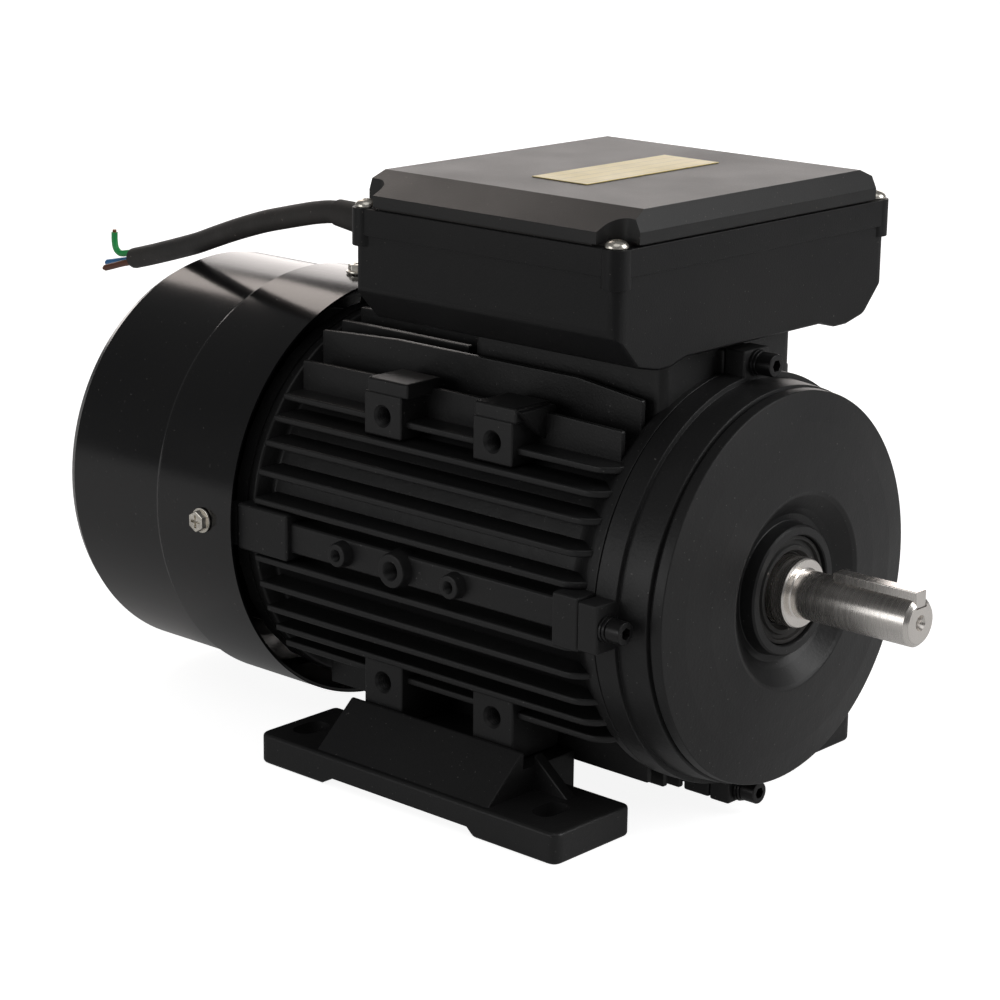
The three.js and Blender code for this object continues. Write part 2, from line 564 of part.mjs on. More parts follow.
function makeLid() {
  const base = { rear: BOX.rear - 1, front: BOX.front + 1, half: BOX.halfWidth };
  const lip = roundedPlate(base.rear, base.front, base.half, 3, LID.bottom, LID.crease);
  const slope = [];
  const levels = [[base.rear, base.front, base.half, LID.crease], [LID.rear, LID.front, LID.halfWidth, LID.top]];
  for (const [rear, front, half, z] of levels) {
    slope.push([rear, -half, z], [front, -half, z], [front, half, z], [rear, half, z]);
  }
  const faces = [0, 2, 1, 0, 3, 2, 4, 5, 6, 4, 6, 7];
  for (let n = 0; n < 4; n += 1) {
    const m = (n + 1) % 4;
    faces.push(n, m, m + 4, n, m + 4, n + 4);
  }
  const geometry = new THREE.BufferGeometry();
  geometry.setAttribute('position', new THREE.BufferAttribute(new Float32Array(slope.flat()), 3));
  geometry.setIndex(faces);
  const notches = boxCorners().map(([x, y]) => bar([x, y, LID.bottom - 1], [x, y, LID.top + 1], 6.4, 16));
  const outward = boxCorners().map(([x, y]) => {
    const dx = Math.sign(x - 40) * 9;
    const dy = Math.sign(y) * 9;
    return plateZ([[x - dx * 0.5, y + dy * 0.5], [x + dx * 0.5, y - dy * 0.5], [x + dx, y - dy * 0.5],
      [x + dx * 1.2, y + dy * 1.2], [x - dx * 0.5, y + dy]], LID.bottom - 1, LID.top + 1);
  });
  return cut(union([lip, solid(geometry)]), [...notches, ...outward]);
}

function makeLidScrew([x, y]) {
  const seat = BOX.top + GAP;
  return union([
    bar([x, y, BOX.rim], [x, y, seat + 0.5], 1.8, 6),
    bar([x, y, seat], [x, y, seat + 2.4], 4.1, 12, 2.4),
  ]);
}

function makeCapacitor(x0, x1, y, radius) {
  const z = 183 + radius;
  return union([
    bar([x0, y, z], [x1, y, z], radius, 24),
    bar([x1 - 1, y, z], [x1 + 3, y, z], radius - 4, 20),
    box(x1, x1 + 9, y - 6, y - 5, z - 3, z + 3),
    box(x1, x1 + 9, y + 5, y + 6, z - 3, z + 3),
  ]);
}

function makeTerminalBlock() {
  const pieces = [box(64, 96, -24, 24, 183, 192)];
  for (const x of [72, 88]) {
    for (const y of [-16, 0, 16]) pieces.push(bar([x, y, 191], [x, y, 204], 2.4, 6));
  }
  return union(pieces);
}

// ---- cable entry and lead -----------------------------------------------------------------
function makeGlandBody() {
  const { y, z, front } = GLAND;
  return cut(union([
    bar([front, y, z], [front - 6, y, z], 11, 6),
    bar([front - 5, y, z], [front - 16, y, z], 9.2, 20),
    bar([front + 9, y, z], [front - 1, y, z], 7.8, 20),
  ]), [bar([front - 20, y, z], [front + 12, y, z], 5.2, 16)]);
}

function makeGlandNut() {
  const { y, z, front, rear } = GLAND;
  return cut(union([
    bar([front - 6.4, y, z], [front - 16, y, z], 12, 8),
    bar([front - 15.8, y, z], [rear, y, z], 11, 20, 5.6),
  ]), [
    bar([front - 5, y, z], [front - 16.4, y, z], 9.5, 20),
    bar([front - 10, y, z], [rear - 1, y, z], 4.8, 16),
  ]);
}

function tube(points, radius, sides, steps) {
  const path = new THREE.CatmullRomCurve3(points.map((point) => new THREE.Vector3(...point)));
  const section = new THREE.Shape();
  for (let n = 0; n < sides; n += 1) {
    const angle = (2 * Math.PI * n) / sides;
    const [u, v] = [radius * Math.cos(angle), radius * Math.sin(angle)];
    if (n === 0) section.moveTo(u, v);
    else section.lineTo(u, v);
  }
  return solid(new THREE.ExtrudeGeometry(section, { steps, extrudePath: path, bevelEnabled: false }));
}

const CABLE_ROUTE = [
  [-47.3, -40, 208], [-54, -39.9, 208.7], [-62, -39.2, 209.3], [-72, -37.8, 208.8], [-83, -35.9, 206.9],
  [-94, -33.8, 204.4], [-106, -31.4, 201.5], [-118.4, -29, 198.4], [-132, -25.6, 194.5], [-146, -22, 190.2],
  [-161, -18, 185.3], [-176.4, -14, 180.2], [-191, -10.8, 175.9], [-205, -8, 171.9], [-218, -5.4, 168.3],
  [-229, -3.5, 165.4],
];
const CORE_ROUTES = {
  lead_core_blue: [[-230.1, -1.6, 164.3], [-236, -0.8, 163.4], [-245, 0.6, 161.4], [-254, 2, 159.4]],
  lead_core_brown: [[-230.1, -5.4, 164], [-236, -5.2, 162.2], [-242, -5, 160.4], [-247.5, -4.8, 158.8]],
  lead_core_green: [[-230.6, -3.5, 167.7], [-234, -3.4, 167], [-239, -3.2, 166.2], [-242, -3.1, 167.8],
    [-243, -3, 171], [-243, -3, 175]],
};

// ---- assembly -----------------------------------------------------------------------------
addMesh('frame_housing', makeHousing(), BLACK_PAINT);
addMesh('foot_left', makeFoot(-1), BLACK_PAINT);
addMesh('foot_right', makeFoot(1), BLACK_PAINT);
addMesh('drive_end_shield', makeDriveEndShield(), BLACK_PAINT);
addMesh('rear_end_shield', makeRearEndShield(), BLACK_PAINT);

const QUARTER_NAMES = { 0: 'right', 90: 'top', 180: 'left', 270: 'bottom' };
for (const angle of QUARTERS) {
  const place = QUARTER_NAMES[angle];
  addMesh(`front_shield_screw_${place}`, makeShieldScrew(angle), BLACK_STEEL);
  addMesh(`rear_shield_screw_${place}`, makeRearShieldScrew(angle), ZINC_STEEL);
  addMesh(`cowl_screw_${place}`, makeCowlScrew(angle), ZINC_STEEL);
}

for (const side of SIDES) {
  for (const x of PAD.x) {
    const name = `foot_bolt_${side < 0 ? 'left' : 'right'}_${x < 0 ? 'rear' : 'front'}`;
    const y = side * PAD.offset;
    const bolt = union([bar([x, y, 4.2], [x, y, 11.7], 6.5, 6), bar([x, y, 11], [x, y, 34], 3.8, 12)]);
    addMesh(name, bolt, ZINC_STEEL);
  }
}

addMesh('stator_core', makeStator(), CORE_STEEL);
addMesh('stator_winding_front', makeWinding(ROTOR.front, 1), COPPER);
addMesh('stator_winding_rear', makeWinding(ROTOR.rear, -1), COPPER);
addMesh('start_switch_plate', makeSwitchPlate(), BLACK_PLASTIC);

addMesh('shaft', makeShaft(), BRIGHT_STEEL);
addMesh('shaft_key', makeKey(), BRIGHT_STEEL);
addMesh('rotor_core', makeRotor(), CORE_STEEL);
addMesh('centrifugal_actuator', makeCentrifugalActuator(), ALUMINIUM);
addMesh('cooling_fan', makeFan(), BLACK_PLASTIC);
addMesh('fan_circlip', makeCirclip(), BLACK_STEEL);

for (const [place, x] of [['front', FRONT_BEARING_X], ['rear', REAR_BEARING_X]]) {
  addMesh(`bearing_${place}_outer_ring`, bearingRing(x, 22.4, BEARING.outer, 1, false), BRIGHT_STEEL);
  addMesh(`bearing_${place}_inner_ring`, bearingRing(x, BEARING.bore, 16.1, 1, true), BRIGHT_STEEL);
  addMesh(`bearing_${place}_balls_and_cage`, makeBallCage(x), BRIGHT_STEEL);
}
addMesh('shaft_seal', turned([[SEAL.rear, SEAL.inner + 1], [SEAL.rear, SEAL.outer],
  [SEAL.front, SEAL.outer], [SEAL.front, 18.4], [SEAL.front - 1.6, 17], [SEAL.front, SEAL.inner]],
  SMALL_ROUND), BLACK_RUBBER);

addMesh('fan_cowl', makeCowl(), GLOSS_SHEET);
addMesh('terminal_box_base', makeBoxBase(), BLACK_PLASTIC);
addMesh('terminal_box_gasket', makeGasket(), BLACK_RUBBER);
addMesh('terminal_box_lid', makeLid(), BLACK_PLASTIC);
addMesh('lid_label', box(30.5, 56.4, -38.3, 38.3, LID.top + 0.1, LID.top + 0.35), GOLD_FOIL);
boxCorners().forEach(([x, y]) => {
  addMesh(`lid_screw_${y < 0 ? 'left' : 'right'}_${x < 0 ? 'rear' : 'front'}`, makeLidScrew([x, y]), ZINC_STEEL);
});
addMesh('start_capacitor', makeCapacitor(-6, 58, -50, 19), BLACK_PLASTIC);
addMesh('run_capacitor', makeCapacitor(-6, 58, 50, 19), ALUMINIUM);
addMesh('terminal_block', makeTerminalBlock(), BLACK_PLASTIC);
addMesh('earth_screw', union([bar([80, 36, 183], [80, 36, 188], 4, 6), bar([80, 36, 187], [80, 36, 192], 2.4, 10)]),
  ZINC_STEEL);
addMesh('cable_gland_body', makeGlandBody(), BLACK_PLASTIC);
addMesh('cable_gland_nut', makeGlandNut(), BLACK_PLASTIC);
addMesh('mains_lead', tube(CABLE_ROUTE, CABLE_RADIUS, 8, 20), BLACK_RUBBER);
const CORE_COLOURS = { lead_core_blue: 0x2b6fb5, lead_core_brown: 0x6b3a22, lead_core_green: 0x2aa34a };
for (const [name, route] of Object.entries(CORE_ROUTES)) {
  addMesh(name, tube(route, CORE_RADIUS, 8, 6), { color: CORE_COLOURS[name], roughness: 0.5, metalness: 0 });
}

export default motor;
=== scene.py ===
"""The looks of a foot-mounted single-phase electric motor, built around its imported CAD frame.

Shapes are written in millimetres, in the frame's own axes: +X runs along the shaft to the drive end,
+Z is up and the feet stand on Z = 0. Meshes are scaled to metres as they are made.
"""
import json
import math

import bmesh
import bpy
from mathutils import Matrix, Vector


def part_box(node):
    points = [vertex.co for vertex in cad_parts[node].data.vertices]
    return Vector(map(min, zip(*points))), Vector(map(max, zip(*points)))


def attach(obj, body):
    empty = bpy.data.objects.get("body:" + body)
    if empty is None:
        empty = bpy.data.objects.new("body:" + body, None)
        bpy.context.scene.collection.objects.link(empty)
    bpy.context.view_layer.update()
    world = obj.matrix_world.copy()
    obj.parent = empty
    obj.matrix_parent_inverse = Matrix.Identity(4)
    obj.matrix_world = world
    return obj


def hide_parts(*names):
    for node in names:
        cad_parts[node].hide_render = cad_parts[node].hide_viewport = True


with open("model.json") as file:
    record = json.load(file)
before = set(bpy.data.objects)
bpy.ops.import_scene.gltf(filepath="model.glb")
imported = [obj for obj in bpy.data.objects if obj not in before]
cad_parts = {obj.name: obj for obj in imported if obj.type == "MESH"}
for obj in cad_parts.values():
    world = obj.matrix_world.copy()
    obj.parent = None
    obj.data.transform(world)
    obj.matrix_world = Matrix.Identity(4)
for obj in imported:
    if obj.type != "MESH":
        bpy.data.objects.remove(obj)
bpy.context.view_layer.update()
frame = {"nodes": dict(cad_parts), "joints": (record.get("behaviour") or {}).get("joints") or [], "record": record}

MM = 0.001
SIDES = (-1, 1)
QUARTERS = {"right": 0, "top": 90, "left": 180, "bottom": 270}
SCREW_CIRCLE = 81.5
FINE = 144
SHARP_OUTLINE = math.radians(28)
SHARP_ROD = math.radians(40)
SMALL = 32


def node_box(node):
    """Lowest and highest corner of a CAD node, in millimetres."""
    low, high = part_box(node)
    return low / MM, high / MM


JOINTS = {joint["name"]: joint for joint in frame["joints"]}
AXIS_Z = JOINTS["rotor_spin"]["pos_m"][2] / MM


# ---- camera, light and floor ----
CAMERA_PLACE = Vector((0.6873, -0.7893, 0.3881))
CAMERA_AZIMUTH = math.radians(41.74)
CAMERA_ELEVATION = math.radians(15.42)
CAMERA_ROLL = math.radians(0.775)
CAMERA_LENS = 100.05
WORLD_STRENGTH = 0.12
WORLD_SEEN = 1.0
FLOOR_REACH = 12
FLOOR_GLOW_SEEN = 0.9
FLOOR_GLOW_ON_THE_MOTOR = 0.15
SUN_SPREAD = math.radians(50)
SUN_STRENGTH = 0.4
SUN_TILT = (math.radians(22), math.radians(18), 0)
AREA_LIGHTS = (
    # name, place, aim, width and height, watts, colour
    ("panel_right", (1.3, 0.7, 0.9), (0.1, 0, 0.12), (0.8, 1.0), 13, (1, 1, 1)),
    ("panel_behind", (-2.0, 2.2, 0.75), (0, 0, 0.2), (3.4, 1.4), 31, (1, 0.94, 0.91)),
    ("strip_above_cowl", (-1.0, 0.45, 1.05), (-0.17, 0, 0.15), (0.3, 0.6), 1.6, (1, 0.9, 0.84)),
    ("panel_front_left", (-0.7, -1.9, 0.5), (0, 0, 0.1), (1.2, 0.8), 6, (1, 1, 1)),
)


def add_camera():
    back = Vector((math.sin(CAMERA_AZIMUTH) * math.cos(CAMERA_ELEVATION),
                   -math.cos(CAMERA_AZIMUTH) * math.cos(CAMERA_ELEVATION),
                   math.sin(CAMERA_ELEVATION)))
    right = Vector((math.cos(CAMERA_AZIMUTH), math.sin(CAMERA_AZIMUTH), 0))
    turn = Matrix.Rotation(CAMERA_ROLL, 3, back)
    right = turn @ right
    above = back.cross(right)
    data = bpy.data.cameras.new("camera")
    data.lens = CAMERA_LENS
    data.sensor_width = 36
    data.clip_start = 0.01
    camera = bpy.data.objects.new("camera", data)
    rotation = Matrix((right, above, back)).transposed()
    camera.matrix_world = Matrix.Translation(CAMERA_PLACE) @ rotation.to_4x4()
    bpy.context.scene.collection.objects.link(camera)
    bpy.context.scene.camera = camera


def area_light(name, place, aim, size, power, colour):
    data = bpy.data.lights.new(name, "AREA")
    data.shape = "RECTANGLE"
    data.size, data.size_y = size
    data.energy = power
    data.color = colour
    light = bpy.data.objects.new(name, data)
    towards = Vector(aim) - Vector(place)
    light.matrix_world = Matrix.Translation(place) @ towards.to_track_quat("-Z", "Y").to_matrix().to_4x4()
    bpy.context.scene.collection.objects.link(light)


def set_glow(tree, strength, on_the_motor, seen):
    """Sets a strength to one value for the light that falls on the motor and another for what is seen."""
    reach = tree.nodes.new("ShaderNodeMapRange")
    reach.inputs["To Min"].default_value = on_the_motor
    reach.inputs["To Max"].default_value = seen
    tree.links.new(tree.nodes.new("ShaderNodeLightPath").outputs["Is Camera Ray"], reach.inputs["Value"])
    tree.links.new(reach.outputs["Result"], strength)


def add_stage():
    world = bpy.data.worlds.new("studio")
    world.use_nodes = True
    background = world.node_tree.nodes["Background"]
    background.inputs["Color"].default_value = (1, 1, 1, 1)
    set_glow(world.node_tree, background.inputs["Strength"], WORLD_STRENGTH, WORLD_SEEN)
    bpy.context.scene.world = world
    bpy.context.scene.view_settings.view_transform = "Standard"
    mesh = bpy.data.meshes.new("floor")
    mesh.from_pydata([(-FLOOR_REACH, -FLOOR_REACH, 0), (FLOOR_REACH, -FLOOR_REACH, 0),
                      (FLOOR_REACH, FLOOR_REACH, 0), (-FLOOR_REACH, FLOOR_REACH, 0)], [], [(0, 1, 2, 3)])
    floor = bpy.data.objects.new("floor", mesh)
    bpy.context.scene.collection.objects.link(floor)
    material = bpy.data.materials.new("floor_white")
    material.use_nodes = True
    shader = material.node_tree.nodes["Principled BSDF"]
    shader.inputs["Base Color"].default_value = (0.5, 0.5, 0.5, 1)
    shader.inputs["Roughness"].default_value = 0.9
    shader.inputs["Specular IOR Level"].default_value = 0.1
    shader.inputs["Emission Color"].default_value = (1, 1, 1, 1)
    set_glow(material.node_tree, shader.inputs["Emission Strength"], FLOOR_GLOW_ON_THE_MOTOR, FLOOR_GLOW_SEEN)
    mesh.materials.append(material)
    sun = bpy.data.lights.new("soft_overhead", "SUN")
    sun.angle = SUN_SPREAD
    sun.energy = SUN_STRENGTH
    overhead = bpy.data.objects.new("soft_overhead", sun)
    overhead.rotation_euler = SUN_TILT
    bpy.context.scene.collection.objects.link(overhead)
    for light in AREA_LIGHTS:
        area_light(*light)


add_camera()
add_stage()


# ---- materials ----
class Finish:
    """A material under construction: one Principled shader and the nodes that feed it."""

    def __init__(self, name, colour, roughness, metallic=0.0, **constants):
        self.material = bpy.data.materials.new(name)
        self.material.use_nodes = True
        self.tree = self.material.node_tree
        self.shader = self.tree.nodes["Principled BSDF"]
        self.shader.inputs["Base Color"].default_value = (*colour, 1)
        self.shader.inputs["Roughness"].default_value = roughness
        self.shader.inputs["Metallic"].default_value = metallic
        for socket, value in constants.items():
            self.shader.inputs[socket.replace("_", " ")].default_value = value
        self.place = self.tree.nodes.new("ShaderNodeTexCoord").outputs["Object"]

    def node(self, kind, **settings):
        made = self.tree.nodes.new(kind)
        for key, value in settings.items():
            if hasattr(made, key):
                setattr(made, key, value)
            else:
                made.inputs[key.replace("_", " ")].default_value = value
        return made

    def link(self, source, target):
        self.tree.links.new(source, target)

    def stretched(self, scale):
        mapping = self.node("ShaderNodeMapping")
        mapping.inputs["Scale"].default_value = scale
        self.link(self.place, mapping.inputs["Vector"])
        return mapping.outputs["Vector"]

    def noise(self, scale, detail=3.0, roughness=0.5, vector=None):
        noise = self.node("ShaderNodeTexNoise", Scale=scale, Detail=detail, Roughness=roughness)
        self.link(vector or self.place, noise.inputs["Vector"])
        return noise.outputs["Fac"]

    def ramp(self, source, stops):
        ramp = self.node("ShaderNodeValToRGB")
        elements = ramp.color_ramp.elements
        while len(elements) < len(stops):
            elements.new(0.5)
        for element, (position, colour) in zip(elements, stops):
            element.position = position
            element.color = (*colour, 1) if len(colour) == 3 else colour
        self.link(source, ramp.inputs["Fac"])
        return ramp.outputs["Color"]

    def span(self, source, low, high, start=0.0, end=1.0):
        reach = self.node("ShaderNodeMapRange")
        for socket, value in (("From Min", start), ("From Max", end), ("To Min", low), ("To Max", high)):
            reach.inputs[socket].default_value = value
        self.link(source, reach.inputs["Value"])
        return reach.outputs["Result"]

    def mix(self, factor, first, second):
        mix = self.node("ShaderNodeMix", data_type="RGBA")
        self.link(factor, mix.inputs["Factor"])
        for socket, value in ((mix.inputs[6], first), (mix.inputs[7], second)):
            if isinstance(value, tuple):
                socket.default_value = (*value, 1)
            else:
                self.link(value, socket)
        return mix.outputs[2]

    def colour(self, source):
        self.link(source, self.shader.inputs["Base Color"])

    def roughness(self, source):
        self.link(source, self.shader.inputs["Roughness"])

    def bump(self, source, distance, strength=1.0):
        bump = self.node("ShaderNodeBump")
        bump.inputs["Distance"].default_value = distance
        bump.inputs["Strength"].default_value = strength
        self.link(source, bump.inputs["Height"])
        before = self.shader.inputs["Normal"]
        if before.is_linked:
            self.link(before.links[0].from_socket, bump.inputs["Normal"])
        self.link(bump.outputs["Normal"], before)
        return self


def dusty(finish, base, dust, amount, scale=900.0):
    """Base colour with a cloudy film and small pale specks, as on handled black parts."""
    film = finish.span(finish.noise(14, 4), 0.0, amount, 0.35, 0.85)
    clouded = finish.mix(film, base, dust)
    specks = finish.ramp(finish.noise(scale, 1.0), [(0.74, (0, 0, 0)), (0.8, (1, 1, 1))])
    finish.colour(finish.mix(specks, clouded, tuple(min(1.0, c * 3) for c in dust)))


def cast_paint(name="black_cast_paint", base=(0.014, 0.014, 0.0145), rough=(0.32, 0.48)):
    """Satin black paint over the grain of a casting."""
    finish = Finish(name, base, 0.4, 0.0, Specular_IOR_Level=0.28)
    dusty(finish, base, (0.03, 0.029, 0.028), 0.35)
    finish.roughness(finish.span(finish.noise(60, 4), *rough))
    finish.bump(finish.noise(900, 2), 0.00006)
    finish.bump(finish.noise(160, 2), 0.0002, 0.5)
    return finish.material


def gloss_sheet():
    base = (0.004, 0.004, 0.0045)
    finish = Finish("gloss_black_sheet", base, 0.16, 0.0, Specular_IOR_Level=0.55)
    dusty(finish, base, (0.02, 0.019, 0.018), 0.25, 700.0)
    finish.roughness(finish.span(finish.noise(25, 4), 0.13, 0.22))
    finish.bump(finish.noise(9, 1), 0.0006, 0.35)
    finish.bump(finish.noise(420, 2), 0.00003, 0.5)
    return finish.material


def moulded_plastic():
    base = (0.006, 0.006, 0.0065)
    finish = Finish("moulded_black_plastic", base, 0.42, 0.0, Specular_IOR_Level=0.24)
    dusty(finish, base, (0.024, 0.022, 0.02), 0.22)
    finish.roughness(finish.span(finish.noise(45, 4), 0.34, 0.5))
    finish.bump(finish.noise(1500, 2), 0.00005)
    return finish.material


def lid_plastic():
    """Moulded plastic that reflects a little more than the box does."""
    base = (0.007, 0.007, 0.0072)
    finish = Finish("lid_black_plastic", base, 0.45, 0.0, Specular_IOR_Level=0.4)
    dusty(finish, base, (0.032, 0.027, 0.023), 0.3)
    finish.roughness(finish.span(finish.noise(30, 5), 0.36, 0.5))
    finish.bump(finish.noise(1700, 2), 0.00005)
    return finish.material


def rubber():
    base = (0.012, 0.012, 0.012)
    finish = Finish("black_rubber", base, 0.7)
    dusty(finish, base, (0.06, 0.052, 0.046), 0.8, 500.0)
    finish.roughness(finish.span(finish.noise(90, 4), 0.55, 0.8))
    finish.bump(finish.noise(700, 3), 0.0001)
    return finish.material


def turned_steel(name, colour, rough, ring_scale=(2400.0, 6.0, 6.0)):
    """Ground steel with fine tool marks running round the motor's axis."""
    finish = Finish(name, colour, rough, 1.0)
    marks = finish.noise(1.0, 2, 0.5, finish.stretched(ring_scale))
    stain = finish.noise(35, 4)
    stained = tuple(c * 0.72 for c in colour)
    finish.colour(finish.mix(finish.span(stain, 0.0, 0.4, 0.4, 0.75), colour, stained))
    finish.roughness(finish.span(marks, rough - 0.03, rough + 0.04, 0.3, 0.7))
    finish.bump(finish.noise(1500, 2), 0.000002, 0.4)
    return finish.material


def plated_steel(name, colour, rough):
    """Plating with small darker patches."""
    finish = Finish(name, colour, rough, 1.0)
    finish.colour(finish.mix(finish.span(finish.noise(300, 3), 0, 0.6, 0.4, 0.7), colour,
                             tuple(c * 0.6 for c in colour)))
    finish.roughness(finish.span(finish.noise(500, 3), rough - 0.05, rough + 0.12))
    finish.bump(finish.noise(900, 2), 0.00003)
    return finish.material


def black_oxide():
    base = (0.012, 0.012, 0.013)
    finish = Finish("black_oxide_steel", base, 0.32, 0.6)
    dusty(finish, base, (0.05, 0.048, 0.045), 0.3, 1400.0)
    finish.roughness(finish.span(finish.noise(400, 3), 0.24, 0.42))
    finish.bump(finish.noise(1600, 2), 0.00002)
    return finish.material


def laminations():
    """Stacked core sheets seen edge on."""
    finish = Finish("steel_laminations", (0.3, 0.3, 0.31), 0.5, 0.9)
    layers = finish.node("ShaderNodeTexWave", wave_type="BANDS", bands_direction="X", Scale=320.0,
                         Distortion=0.4)
    finish.link(finish.place, layers.inputs["Vector"])
    finish.colour(finish.mix(layers.outputs["Fac"], (0.2, 0.2, 0.21), (0.36, 0.36, 0.37)))
    finish.roughness(finish.span(finish.noise(120, 3), 0.4, 0.6))
    finish.bump(layers.outputs["Fac"], 0.0001)
    return finish.material


def varnished_copper():
    finish = Finish("varnished_copper", (0.4, 0.15, 0.05), 0.35, 0.7, Coat_Weight=0.6, Coat_Roughness=0.2)
    wires = finish.node("ShaderNodeTexWave", wave_type="RINGS", rings_direction="X", Scale=260.0,
                        Distortion=3.0)
    wires.inputs["Detail"].default_value = 2.0
    finish.link(finish.place, wires.inputs["Vector"])
    finish.colour(finish.mix(wires.outputs["Fac"], (0.2, 0.06, 0.02), (0.5, 0.2, 0.07)))
    finish.roughness(finish.span(finish.noise(80, 3), 0.3, 0.5))
    finish.bump(wires.outputs["Fac"], 0.0004)
    return finish.material


def cast_aluminium():
    finish = Finish("cast_aluminium", (0.55, 0.56, 0.57), 0.42, 0.95)
    finish.colour(finish.mix(finish.noise(60, 4), (0.42, 0.43, 0.44), (0.62, 0.63, 0.64)))
    finish.roughness(finish.span(finish.noise(200, 3), 0.34, 0.52))
    finish.bump(finish.noise(500, 3), 0.00008)
    return finish.material


def gold_foil():
    """A blank gold foil plate with faint ruled rows and no lettering."""
    finish = Finish("gold_foil", (0.8, 0.66, 0.34), 0.4, 0.0, Specular_IOR_Level=0.3)
    rows = finish.node("ShaderNodeTexWave", wave_type="BANDS", bands_direction="X", wave_profile="SAW",
                       Scale=52.0)
    finish.link(finish.place, rows.inputs["Vector"])
    ruled = finish.ramp(rows.outputs["Fac"], [(0.0, (0.44, 0.34, 0.12)), (0.1, (0.78, 0.62, 0.22))])
    patches = finish.span(finish.noise(120, 3, 0.6), 0.0, 0.35, 0.45, 0.7)
    finish.colour(finish.mix(patches, ruled, (0.58, 0.46, 0.19)))
    finish.roughness(finish.span(finish.noise(50, 2), 0.28, 0.42))
    finish.bump(finish.noise(300, 2), 0.00003)
    return finish.material


def core_insulation(name, colour):
    finish = Finish(name, colour, 0.4)
    darker = tuple(c * 0.6 for c in colour)
    finish.colour(finish.mix(finish.span(finish.noise(160, 3), 0, 0.5), colour, darker))
    finish.roughness(finish.span(finish.noise(250, 2), 0.32, 0.5))
    finish.bump(finish.noise(500, 2), 0.00005)
    return finish.material


FINISHES = {
    "black_paint": cast_paint(),
    "gloss_sheet": gloss_sheet(),
    "black_plastic": moulded_plastic(),
    "black_rubber": rubber(),
    "bright_steel": turned_steel("bright_turned_steel", (0.86, 0.82, 0.78), 0.26),
    "black_steel": black_oxide(),
    "zinc_steel": plated_steel("zinc_plated_steel", (0.86, 0.82, 0.74), 0.26),
    "core_steel": laminations(),
    "copper": varnished_copper(),
    "aluminium": cast_aluminium(),
    "gold_foil": gold_foil(),
    "blue_core": core_insulation("blue_insulation", (0.03, 0.2, 0.5)),
    "brown_core": core_insulation("brown_insulation", (0.15, 0.045, 0.02)),
    "green_core": core_insulation("green_insulation", (0.02, 0.42, 0.1)),
}
LID_PLASTIC = lid_plastic()
NODE_SLOT = {entry["node"]: entry["material_slot"] for entry in frame["record"]["subparts"]}
for node_name, cad_node in frame["nodes"].items():
    cad_node.data.materials.clear()
    cad_node.data.materials.append(FINISHES[NODE_SLOT[node_name]])


# ---- mesh tools ----
def linked(name, bm):
    mesh = bpy.data.meshes.new(name)
    bmesh.ops.recalc_face_normals(bm, faces=bm.faces)
    bmesh.ops.scale(bm, vec=(MM, MM, MM), verts=bm.verts)
    bm.to_mesh(mesh)
    bm.free()
    obj = bpy.data.objects.new(name, mesh)
    bpy.context.scene.collection.objects.link(obj)
    return obj


def rounded(points, radius, steps=3, closed=True):
    """The same outline with each corner turned into a short arc."""
    if not isinstance(radius, (list, tuple)):
        radius = [radius] * len(points)
    result = []
    count = len(points)
    for i, point in enumerate(points):
        here = Vector(point)
        if radius[i] == 0 or (not closed and i in (0, count - 1)):
            result.append(tuple(here))
            continue
        back = Vector(points[i - 1]) - here
        ahead = Vector(points[(i + 1) % count]) - here
        half = back.angle(ahead) / 2
        cut = min(radius[i] / math.tan(half), back.length * 0.45, ahead.length * 0.45)
        start = here + back.normalized() * cut
        end = here + ahead.normalized() * cut
        for step in range(steps + 1):
            t = step / steps
            result.append(tuple(start * (1 - t) ** 2 + here * 2 * t * (1 - t) + end * t ** 2))
    return result


def lathe(profile, steps=FINE, name="lathe"):
    """A body of revolution about the motor's axis from (x, radius) points."""
    bm = bmesh.new()
    rings = []
    for x, radius in profile:
        if radius == 0:
            rings.append([bm.verts.new((x, 0, AXIS_Z))])
            continue
        turns = [2 * math.pi * k / steps for k in range(steps)]
        rings.append([bm.verts.new((x, radius * math.cos(t), AXIS_Z + radius * math.sin(t))) for t in turns])
    pairs = list(zip(rings, rings[1:]))
    if profile[0][1] != 0:
        pairs.append((rings[-1], rings[0]))
    for first, second in pairs:
        for k in range(steps):
            m = (k + 1) % steps
            if len(first) == 1 and len(second) == 1:
                break
            if len(first) == 1:
                bm.faces.new((first[0], second[k], second[m]))
            elif len(second) == 1:
                bm.faces.new((first[k], second[0], first[m]))
            else:
                bm.faces.new((first[k], second[k], second[m], first[m]))
    return linked(name, bm)


def spun(profile, steps):
    """An unlinked body of revolution about Z from (height, radius) points, closed on the axis."""
    bm = bmesh.new()
    turns = [2 * math.pi * k / steps for k in range(steps)]
    rings = []
    for w, r in profile:
        points = [(r * math.cos(t), r * math.sin(t), w) for t in turns] if r else [(0, 0, w)]
        rings.append([bm.verts.new(point) for point in points])
    for first, second in zip(rings, rings[1:]):
        for k in range(steps):
            m = (k + 1) % steps
            if len(first) == 1:
                bm.faces.new((first[0], second[k], second[m]))
            elif len(second) == 1:
                bm.faces.new((first[k], first[m], second[0]))
            else:
                bm.faces.new((first[k], first[m], second[m], second[k]))
    return bm


